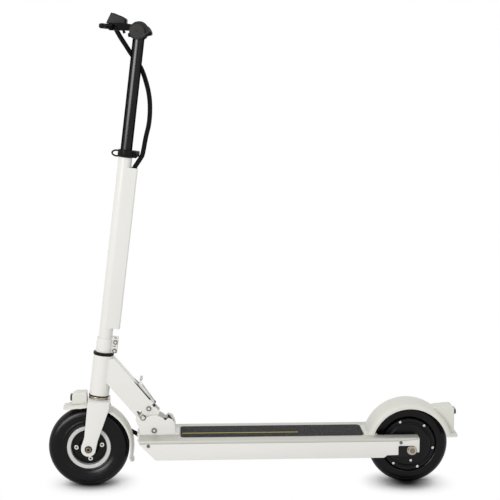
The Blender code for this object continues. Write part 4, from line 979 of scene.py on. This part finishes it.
makeFrontFrame()
makeReleaseLever()
makeFork()
print("front frame, lever and fork built")


# ---- mast, collar, clamp, post

mast = {"radius": 17.0, "bore": 14.6, "low": 340.3, "high": 841.0, "channel": (402.0, 801.0),
        "back": 33.0, "half": 13.0, "wall": 2.0,
        # heights up the steering axis, and how far behind it the clamp's screw and peephole lie
        "collarBolts": {"Lower": 346.8, "Upper": 368.5}, "collarBack": 26,
        "peephole": (833.6, 23.6), "skewer": (837.5, 28.5)}

clampHandle = [(33, 15, 2), (31.5, 19, 2), (27, 20.8, 4), (10, 25.4, 20), (-8, 28, 10),
               (-16, 27.5, 1.2), (-16, 24.6, 1.2), (-6, 23.6, 8), (10, 21.5, 12), (22, 15.5, 6),
               (24, 11.8, 2), (28.5, 10.4, 2), (32, 12, 2)]


def makeMast():
    low, high, r = mast["low"], mast["high"], mast["radius"]
    pipe = turned([(mast["bore"], low), (r, low, 0.5), (r, high, 0.6), (mast["bore"], high, 0.4)],
                  96, "Z", soft=3)
    half, back, wall = mast["half"], mast["back"], mast["wall"]
    # its sides leave the tube where a line from the rear corner just touches the tube
    away = atan2(-half, back) - np.arccos(r / np.hypot(back, half))
    touch = (r - 0.06) * np.array((cos(away), sin(away)))
    outer = [tuple(touch), (back, -half, 4.5), (back, half, 4.5), (touch[0], -touch[1])]
    inner = [(7.5, 13.2), (back - wall, half - wall, 2.5), (back - wall, wall - half, 2.5),
             (7.5, -13.2)]
    loop = np.vstack([roundCorners(outer, 6), roundCorners(inner, 6)])
    channel = slab(loop, *mast["channel"], 0.5, "Z")
    # the foot of the channel is closed by a small plate
    floor = mast["channel"][0]
    foot = slab([(12, -12), (32, -12, 4), (32, 12, 4), (12, 12)], floor + 1, floor + 3, 0.3, "Z",
                soft=5)
    makePiece("mastTube", at(stem, pipe, channel, foot), "whitePaint", "steering", "mast")

    rim = at(stem, block((-30, 13.6), (-30, 30), (375.2, 400), 0.1))
    softCopy("stem_collar", "stemCollar", "whitePaint", "steering", 0.7, 3, 28, [rim])
    for which, s in mast["collarBolts"].items():
        screwSet("collarBolt" + which, "steering", stemAt(s, mast["collarBack"]), 10.3, 5.4, 4.0,
                 2.6, "collar_bolt_" + which.lower(), 0.62)
    # thin dark sheets laid on the collar's side for its slit and a nick: painted shade of the gaps
    nick = roundCorners([(22.0, 377.6, 0.5), (28.5, 378.6, 0.5), (28.2, 380.4, 0.5),
                         (22.0, 379.6, 0.5)], 3)
    slit = roundCorners([(19.6, 357.6, 0.4), (27.8, 357.2, 0.4), (27.8, 358.9, 0.4),
                         (19.6, 359.2, 0.4)], 3)
    slitShades = at(stem, *[slab(line, -10.35, -9.6, 0.2) for line in (nick, slit)])
    makePiece("collarSlits", slitShades, "darkBolt", "steering")


def makeClamp():
    band = turned([(17.3, 824.6, 0.3), (19.9, 824.6, 1.4), (19.9, 842.4, 1.4), (14.9, 842.4, 0.3),
                   (14.9, 841.3), (17.3, 841.3)], 96, "Z", soft=3)
    ears = slab([(12, 825), (26, 825, 3), (32.6, 833, 3), (32.6, 842, 4), (12, 842)], -8, 8, 1.2,
                soft=5)
    bore = turned([(0, 800), (17.2, 800), (17.2, 841.3), (14.8, 841.3), (14.8, 870), (0, 870)],
                  64, "Z", False)
    body = carve(at(stem, band), at(stem, ears), operation="UNION")
    body = carve(body, at(stem, bore), at(stem, block((12, 40), (-1.5, 1.5), (800, 870), 0.1)),
                 at(stemAt(*mast["peephole"]), rod(2.3, -14, 14, 24)))
    makePiece("heightClamp", body, "blackCap", "steering", "height_clamp", 35)
    # the bag hook: a wire bent to an oval
    a = np.linspace(0, 2 * pi, 97)
    oval = np.stack([11.4 * np.cos(a) - 22.0, 0 * a, 6.9 * np.sin(a) + 832.0], 1)
    makePiece("bagHook", at(stem, gridSurface(alongPath(oval, 2.1, 16, (0, 1, 0.001)))),
              "blackCap", "steering")
    head = moved(socketHead(4.2, 3.2, 2.0, 1.8), (0, -8.3, 0))
    makePiece("clampSkewer", at(stemAt(*mast["skewer"]), head, rod(2.2, -8.5, 9.6, 24)),
              "darkBolt", "steering", "clamp_skewer")
    handle = slab(clampHandle, 828, 842, 1.6, "Z", soft=5)
    makePiece("quickLever", at(stem, handle), "blackCap", "quick_release", "quick_release_lever")


post = {"radius": 14.3, "bore": 12.0, "low": 730.0, "high": 1117.0, "clamp": 15.5,
        "clampHalf": 21.0}


def makePost():
    r, bore, low, high = post["radius"], post["bore"], post["low"], post["high"]
    pipe = turned([(bore, low), (r, low, 0.8), (r, high), (bore, high)], 96, "Z", soft=3)
    makePiece("postTube", at(stem, pipe), "blackGloss", "height_post", "post_tube")
    half, big = post["clampHalf"], post["clamp"]
    clamp = turned(evenly([(11.4, -half, 0.4), (big - 1, -half, 0.6), (big, 1 - half, 0.8)]), 96,
                   soft=3)
    makePiece("barClamp", at(barAxis, clamp), "blackGloss", "height_post")
    # the weld runs once round the post and rises and falls twice, as the clamp's round side does
    a = np.linspace(0, 2 * pi, 120)
    bead = np.stack([14.6 * np.cos(a), 14.6 * np.sin(a), 1112.2 + 2.2 * np.cos(2 * a)], 1)
    makePiece("postWeld", at(stem, gridSurface(alongPath(bead, 1.5, 10, (0, 0, 1)))),
              "blackGloss", "height_post")
    handlebar = turned(evenly([(9.0, -228), (11.1, -228, 0.5)]), 64, soft=3)
    makePiece("handlebar", at(barAxis, handlebar), "blackGloss", "height_post", "handlebar")


makeMast()
makeClamp()
makePost()
print("mast and post built")


# ---- grips and controls

grip = {
    "wing": [(-17.5, 0.0), (-16.2, 7.5), (-12.4, 13.5), (-6.5, 18.5), (0.0, 20.9), (8.0, 21.4),
             (15.0, 19.4), (21.0, 14.8), (25.4, 8.4), (28.0, 1.4), (27.6, -3.4), (24.2, -5.6),
             (18.0, -6.2), (12.0, -8.6), (2.0, -16.6), (-5.0, -16.8), (-11.5, -13.2),
             (-16.0, -7.0)],
    # at each distance along the bar: the share of the wing, and the size
    "along": [112.0, 112.4, 113.2, 119.8, 120.6, 121.2, 122.0, 146.0, 172.0, 196.0, 214.0,
              221.5, 223.2, 224.0],
    "grow": [0.0, 0.0, 0.0, 0.0, 0.0, 0.0, 0.0, 0.12, 0.5, 0.9, 1.0, 1.0, 1.0, 1.0],
    "size": [0.8, 1.06, 1.12, 1.12, 1.08, 0.98, 0.95, 0.95, 0.97, 1.0, 1.0, 1.0, 0.97, 0.9],
    # the round end: radius and distance along the bar
    "end": [(0, 222.0), (13.8, 222.0), (15.4, 223.2, 1.0), (15.9, 227.0, 2.0),
            (15.2, 231.2, 1.2), (14.2, 232.0, 0.4), (2.2, 232.0, 0.2), (2.0, 230.6, 0.2),
            (0, 230.6)],
    "endMoved": (1.2, 0, -0.6),
    "ringBolt": (-20.0, -8.0),
}


def makeGrips():
    wing = smoothLine(grip["wing"], 97, True)
    angle = pi - 2 * pi * np.linspace(0, 1, 97)
    circle = 16.5 * np.stack([np.cos(angle), np.sin(angle)], 1)
    along = np.unique(np.concatenate([grip["along"], np.linspace(122, 222, 90)]))
    grow = np.interp(along, grip["along"], grip["grow"])[:, None, None]
    size = np.interp(along, grip["along"], grip["size"])[:, None, None]
    # between a circle and the wing, with shallow rings pressed into the palm side
    loops = (circle + (wing - circle) * grow) * size
    press = 0.35 * (np.sin(along * 2 * pi / 6.0) > 0.55) * (along > 128) * (along < 216)
    loops = loops * (1 - press[:, None, None] / 18)
    x, z = grip["ringBolt"]
    ear = roundCorners([(x - 3.6, z - 5, 3), (x + 8, z - 5, 2), (x + 8, z + 6, 2),
                        (x - 3.6, z + 5, 3)], 5)
    for which, sign in (("left", -1), ("right", 1)):
        y = (sign * along)[:, None] + 0 * loops[..., 0]
        body = gridSurface(np.stack([loops[..., 0], y, loops[..., 1]], -1), (True, True))
        bore = rod(11.4, sign * 90, sign * 228.3, 48)
        makePiece(which + "Grip", carve(at(barAxis, body), at(barAxis, bore)), "gripRubber",
                  "height_post", which + "_grip", 50)
        cap = turned(roundCorners(grip["end"], 4) * (1, sign), 72, closed=False)
        makePiece(which + "GripCap", at(barAxis, moved(cap, grip["endMoved"])), "capRubber",
                  "height_post")
        bolt = slab(ear, *sorted((sign * 112.6, sign * 120.2)), 1.0)
        makePiece(which + "RingEar", at(barAxis, bolt), "blackCap", "height_post")


display = {
    "head": [(68.0, 1165.0, 1.6), (55.2, 1139.2, 1.6), (104.2, 1139.2, 0.6), (104.2, 1150.6, 0.8)],
    "panel": [(69.2, 1163.0, 1.0), (58.0, 1140.6, 1.0), (99.4, 1140.6, 0.6), (99.4, 1150.8, 0.6)],
    "neck": [(80.0, 1140.5), (82.0, 1139.0, 2.0), (100.0, 1128.5, 4.0), (116.5, 1127.0, 2.0),
             (119.0, 1132.5, 2.0), (103.2, 1141.0, 1.0), (100.0, 1141.5)],
    "half": 42.0, "neckHalf": 15.0,
    # the upper end of the sloping face and a second point on it
    "face": ((68.0, 1165.0), (103.0, 1151.0)),
}


def makeDisplay():
    half, neckHalf = display["half"], display["neckHalf"]
    head = slab(display["head"], -half, half, 1.2, steps=4, soft=6)
    well = block((99.9, 112), (-7.4, 7.4), (1142.2, 1149.8), 0.3)
    makePiece("displayHousing", carve(head, well), "blackCap", "height_post", "display_housing",
              40)
    panel = slab(display["panel"], half - 0.4, half + 0.3, 0.3)
    makePiece("displayPanels", bothWays(panel), "blackMatte", "height_post")
    neck = slab(display["neck"], -neckHalf, neckHalf, 1.6)
    makePiece("displayNeck", neck, "blackCap", "height_post")
    (x, z), (farX, farZ) = display["face"]
    slant = frameAt(x, z, -atan2(farZ - z, farX - x))
    glass = slab(rectangle((4.5, 32.5), (-37, 37), 3, 6), 0.2, 1.2, 0.5, "Z")
    makePiece("displayScreen", at(slant, glass), "screenGlass", "height_post", "display_screen")
    button = slab(rectangle((-6.8, 6.8), (1142.8, 1149.2), 3, 6), 101.7, 105.4, 1.2, "X")
    makePiece("displayButton", button, "blackCap", "display_button", "display_button")


controls = {
    # the cable adjuster's X, Z, lean in radians and Y; the lever's outline is seen from above
    "adjuster": (98.6, 1122.4, -0.36, -100), "leverPivot": (73, -96, 0),
    "blade": [(66.8, -93, 3), (73, -89.8, 4), (79.2, -93, 3), (79.2, -99, 3), (74.5, -108, 6),
              (65.5, -126, 20), (60.5, -150, 30), (60.5, -180, 30), (62, -206, 8),
              (59, -213, 4), (52.5, -214, 4), (47.5, -209, 4), (47, -200, 4), (51.5, -180, 20),
              (52, -150, 30), (56.5, -124, 20), (64.5, -104, 8)],
    "throttle": [(11.4, 84, 0.3), (17.4, 84, 1.5), (18.5, 86, 1.5), (18.5, 96, 1.0),
                 (17.9, 96.6, 0.3), (17.9, 97.4, 0.3), (18.5, 98, 0.6), (18.5, 100.6, 1.0),
                 (17.0, 101.6, 0.8), (11.4, 101.6, 0.3)],
}


def makeControls():
    softCopy("brake_perch", "brakePerch", "blackCap", "height_post", 0.9, 3, 28)
    band = turned([(11.4, -106, 0.3), (16.9, -106, 0.8), (16.9, -102, 0.8), (11.4, -102, 0.3)], 72)
    makePiece("perchBand", at(barAxis, band), "darkBolt", "height_post")
    adjuster = turned([(0, -8.0), (3.3, -8.0, 0.6), (3.3, -3.0, 0.4), (2.6, -2.6, 0.2),
                       (2.6, 6, 0.2), (0, 6)], 32, "Z", False, soft=3)
    makePiece("cableAdjuster", at(frameAt(*controls["adjuster"]), adjuster), "blackCap",
              "height_post")
    lever = slab(controls["blade"], 1124.6, 1136.2, 4.4, "Z", 6, soft=5)
    pin = turned([(0, 1121.5), (2.4, 1121.5, 0.4), (2.4, 1139.5, 0.4), (0, 1139.5)], 32, "Z",
                 False, soft=3)
    makePiece("brakeLever", gather(lever, moved(pin, controls["leverPivot"])), "blackCap",
              "brake_lever", "brake_lever", 40)
    shell = turned(controls["throttle"], 96)
    makePiece("throttleShell", at(barAxis, shell), "blackCap", "height_post", "throttle_housing")
    softCopy("throttle_lever", "throttleLever", "blackCap", "throttle", 0.8, 3, 28)


makeGrips()
makeDisplay()
makeControls()
print("grips and controls built")


# ---- cable looms

looms = {
    "upper": {
        "route": [(75, -27.5, 1136), (80.6, -20, 1121.6), (89.5, -8, 1105.1), (99.7, 6, 1088.6),
                  (109.8, 20, 1071.9), (122.8, 26.5, 1052.7), (135.9, 26, 1033.4),
                  (146.0, 21, 1006.9), (154.4, 15, 973.2), (157.3, 10, 939.5),
                  (154.7, 6, 900.9), (146.4, 3, 864.7)],
        "inChannel": [(40.5, 838.0), (36.5, 826.0), (30.6, 814.0), (24.8, 802.0), (23.9, 788.0),
                      (23.9, 700.0), (23.9, 600.0)],
        "radius": 5.7, "count": 760, "bodies": ("height_post", "steering"),
        "bends": ((99, 0, 1090), (145, 0, 868))},
    "lower": {
        "route": [(31, 25.3, 244), (31, 32, 244), (33.5, 41, 239.5), (37.5, 48, 230.5),
                  (41, 51.5, 216), (44, 52, 200), (49, 50.5, 184), (57, 47.5, 169),
                  (68, 45, 155), (81, 42.5, 142.5), (92, 41.3, 133), (101, 41, 126.5),
                  (106.5, 40.3, 123.3), (112.5, 37.5, 121), (118.0, 30, 119.8),
                  (121.4, 21.5, 119.5), (123.5, 12.5, 119.3)],
        "inChannel": [], "radius": 5.3, "count": 300, "bodies": ("front_frame", "deck"),
        "bends": ((57, 0, 169), (112, 0, 121))},
}


def loomPath(look):
    route = look["route"] + [tuple(stemAt(s, u)[0]) for u, s in look["inChannel"]]
    return smoothLine(route, look["count"])


def makeLoom(which, look):
    # a round sleeve wound with tape: its radius steps up once for each turn of the winding
    path = loomPath(look)
    walked = np.concatenate([[0], np.cumsum(np.linalg.norm(np.diff(path, axis=0), axis=1))])
    angle = np.linspace(0, 1, 25)
    wind = (walked[:, None] / 7.0 + angle) % 1
    grid = alongPath(path, look["radius"] + 0.2 * wind ** 3, 24)
    uv = np.stack([angle + 0 * grid[..., 0], walked[:, None] / 1000 + 0 * grid[..., 0]], -1)
    mesh = makeMesh(which + "Loom", gridSurface(grid, (True, True)), uv)
    piece = makePiece(which + "Loom", mesh, "loomRubber", None, which + "_loom", 60)
    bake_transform(piece)


for which in ("upper", "lower"):
    makeLoom(which, looms[which])
print("looms built")


# ---- CAD nodes that stay

carried = {
    "battery_pack": "batteryWrap", "controller": "blackCap", "charge_port": "blackCap",
    "motor_stator": "motorIron", "upper_bearing": "brightSteel", "lower_bearing": "brightSteel",
    "front_bearing_left": "brightSteel", "front_bearing_right": "brightSteel",
}
for node, finish in carried.items():
    for place in frame["nodes"][node].material_slots:
        place.material = finishes[finish]
print("carried-over nodes finished")


# ---- floor, light and camera

studio = {
    # how bright the floor looks, how much light it gives on and how much the backdrop gives,
    # and how far from the wheels, in metres, the floor goes over to the backdrop
    "floorSeen": 1.16, "floorGiven": 0.8, "ambient": 0.65, "floorFades": (0.05, 0.13),
    # where a painted shadow lies on the floor under each wheel, in metres, and how far out it
    # reaches
    "paintedShadowCentres": ((0.006, 0.014), (0.796, -0.018)), "paintedShadowReach": (0.008, 0.085),
    # each lamp's place, size and power, and the point that all of them look at
    "lamps": {
        "key": ((-2.05, -2.75, 1.85), (1.2, 1.6), 46.0),
        "panel": ((-2.05, -2.75, 1.0), (2.5, 1.4), 135.0),
        "fill": ((1.65, -2.9, 1.5), (0.35, 1.7), 8.0),
        "top": ((0.1, 0.1, 3.0), (2.6, 1.8), 3.0),
    },
    "aim": (-0.1, 0, 0.55),
    # the panel only shows as a reflection in these finishes
    "shines": ("blackGloss", "frontRubber", "rearRubber"),
}


def seenDirectly(paint):
    # 1 for rays from the camera, a mirror or glass, 0 for light on its way to other surfaces
    rays = paint.tree.nodes.new("ShaderNodeLightPath").outputs
    camera, mirror, glass = [Wire(paint, rays[kind + " Ray"])
                             for kind in ("Is Camera", "Is Glossy", "Is Transmission")]
    return paint.maths("MAXIMUM", camera, paint.maths("MAXIMUM", mirror, glass))


def makeFloor():
    ends = (-9000, 9000)
    floor = makeMesh("floor", gridSurface(np.array([[(x, y, -0.3) for x in ends] for y in ends])))
    plane = bpy.data.objects.new("floor", floor)
    bpy.context.scene.collection.objects.link(plane)
    paint = Paint("floorWhite")
    paint.tree.nodes.remove(paint.shader)
    seen = seenDirectly(paint)
    given = paint.node("BsdfDiffuse", None, {0: (studio["floorGiven"],) * 3 + (1,)})
    # away from the wheels the floor goes over to the white of the backdrop
    x, y = paint.split(paint.coords())[:2]
    reach = [((x - (along - middle / 1000)) ** 2 + (y - across) ** 2) ** 0.5
             for along, across in studio["paintedShadowCentres"]]
    reach = paint.maths("MINIMUM", *reach)
    # painted shadow: round each wheel's contact the floor's own colour goes down to near black
    near = paint.smooth(reach, *studio["paintedShadowReach"])
    shown = paint.mixed(near, (0.03, 0.03, 0.03, 1), (studio["floorSeen"],) * 3 + (1,))
    shown = paint.node("BsdfDiffuse", None, {0: shown})
    away = paint.smooth(reach, *studio["floorFades"])
    white = paint.node("Emission", None, {0: (1, 1, 1, 1), 1: 1.0})
    shown = paint.node("MixShader", None, {0: away, 1: shown, 2: white})
    both = paint.node("MixShader", None, {0: seen, 1: given, 2: shown})
    paint.feed(paint.tree.nodes.get("Material Output").inputs["Surface"], both)
    floor.materials.append(paint.owner)


def makeLights():
    world = bpy.data.worlds.new("studio")
    bpy.context.scene.world = world
    world.use_nodes = True
    sky = Paint("sky", world)
    seen = seenDirectly(sky)
    ground = sky.tree.nodes.get("Background")
    ground.inputs["Color"].default_value = (1, 1, 1, 1)
    sky.feed(ground.inputs["Strength"], seen + (1 - seen) * studio["ambient"])

    for name, (place, size, power) in studio["lamps"].items():
        lamp = bpy.data.lights.new(name, "AREA")
        lamp.shape, lamp.size, lamp.size_y, lamp.energy = "RECTANGLE", *size, power
        holder = bpy.data.objects.new(name, lamp)
        bpy.context.scene.collection.objects.link(holder)
        holder.location = place
        aim = Vector(studio["aim"]) - Vector(place)
        holder.rotation_euler = aim.to_track_quat("-Z", "Y").to_euler()

    panel = bpy.data.objects["panel"]
    panel.visible_diffuse = False
    shiny = bpy.data.collections.new("shiny")
    for piece in bpy.data.objects:
        if any(slot.name in studio["shines"] for slot in piece.material_slots):
            shiny.objects.link(piece)
    panel.light_linking.receiver_collection = shiny


view = {
    "place": (-0.186372, -3.558189, 1.066443),
    "right": (0.998780, -0.049367, 0.001055),
    "up": (0.005514, 0.132737, 0.991136),
    "lens": 105.07,
}


def makeCamera():
    lens = bpy.data.cameras.new("camera")
    lens.lens, lens.sensor_width, lens.sensor_fit = view["lens"], 36, "HORIZONTAL"
    lens.clip_start, lens.clip_end = 0.1, 60
    camera = bpy.data.objects.new("camera", lens)
    bpy.context.scene.collection.objects.link(camera)
    right, up = Vector(view["right"]), Vector(view["up"])
    turn = Matrix((right, up, right.cross(up))).transposed()
    camera.matrix_world = Matrix.Translation(view["place"]) @ turn.to_4x4()
    bpy.context.scene.camera = camera


makeFloor()
makeLights()
makeCamera()
bpy.context.scene.view_settings.view_transform = "Standard"
print("studio and camera set")

bpy.context.view_layer.update()
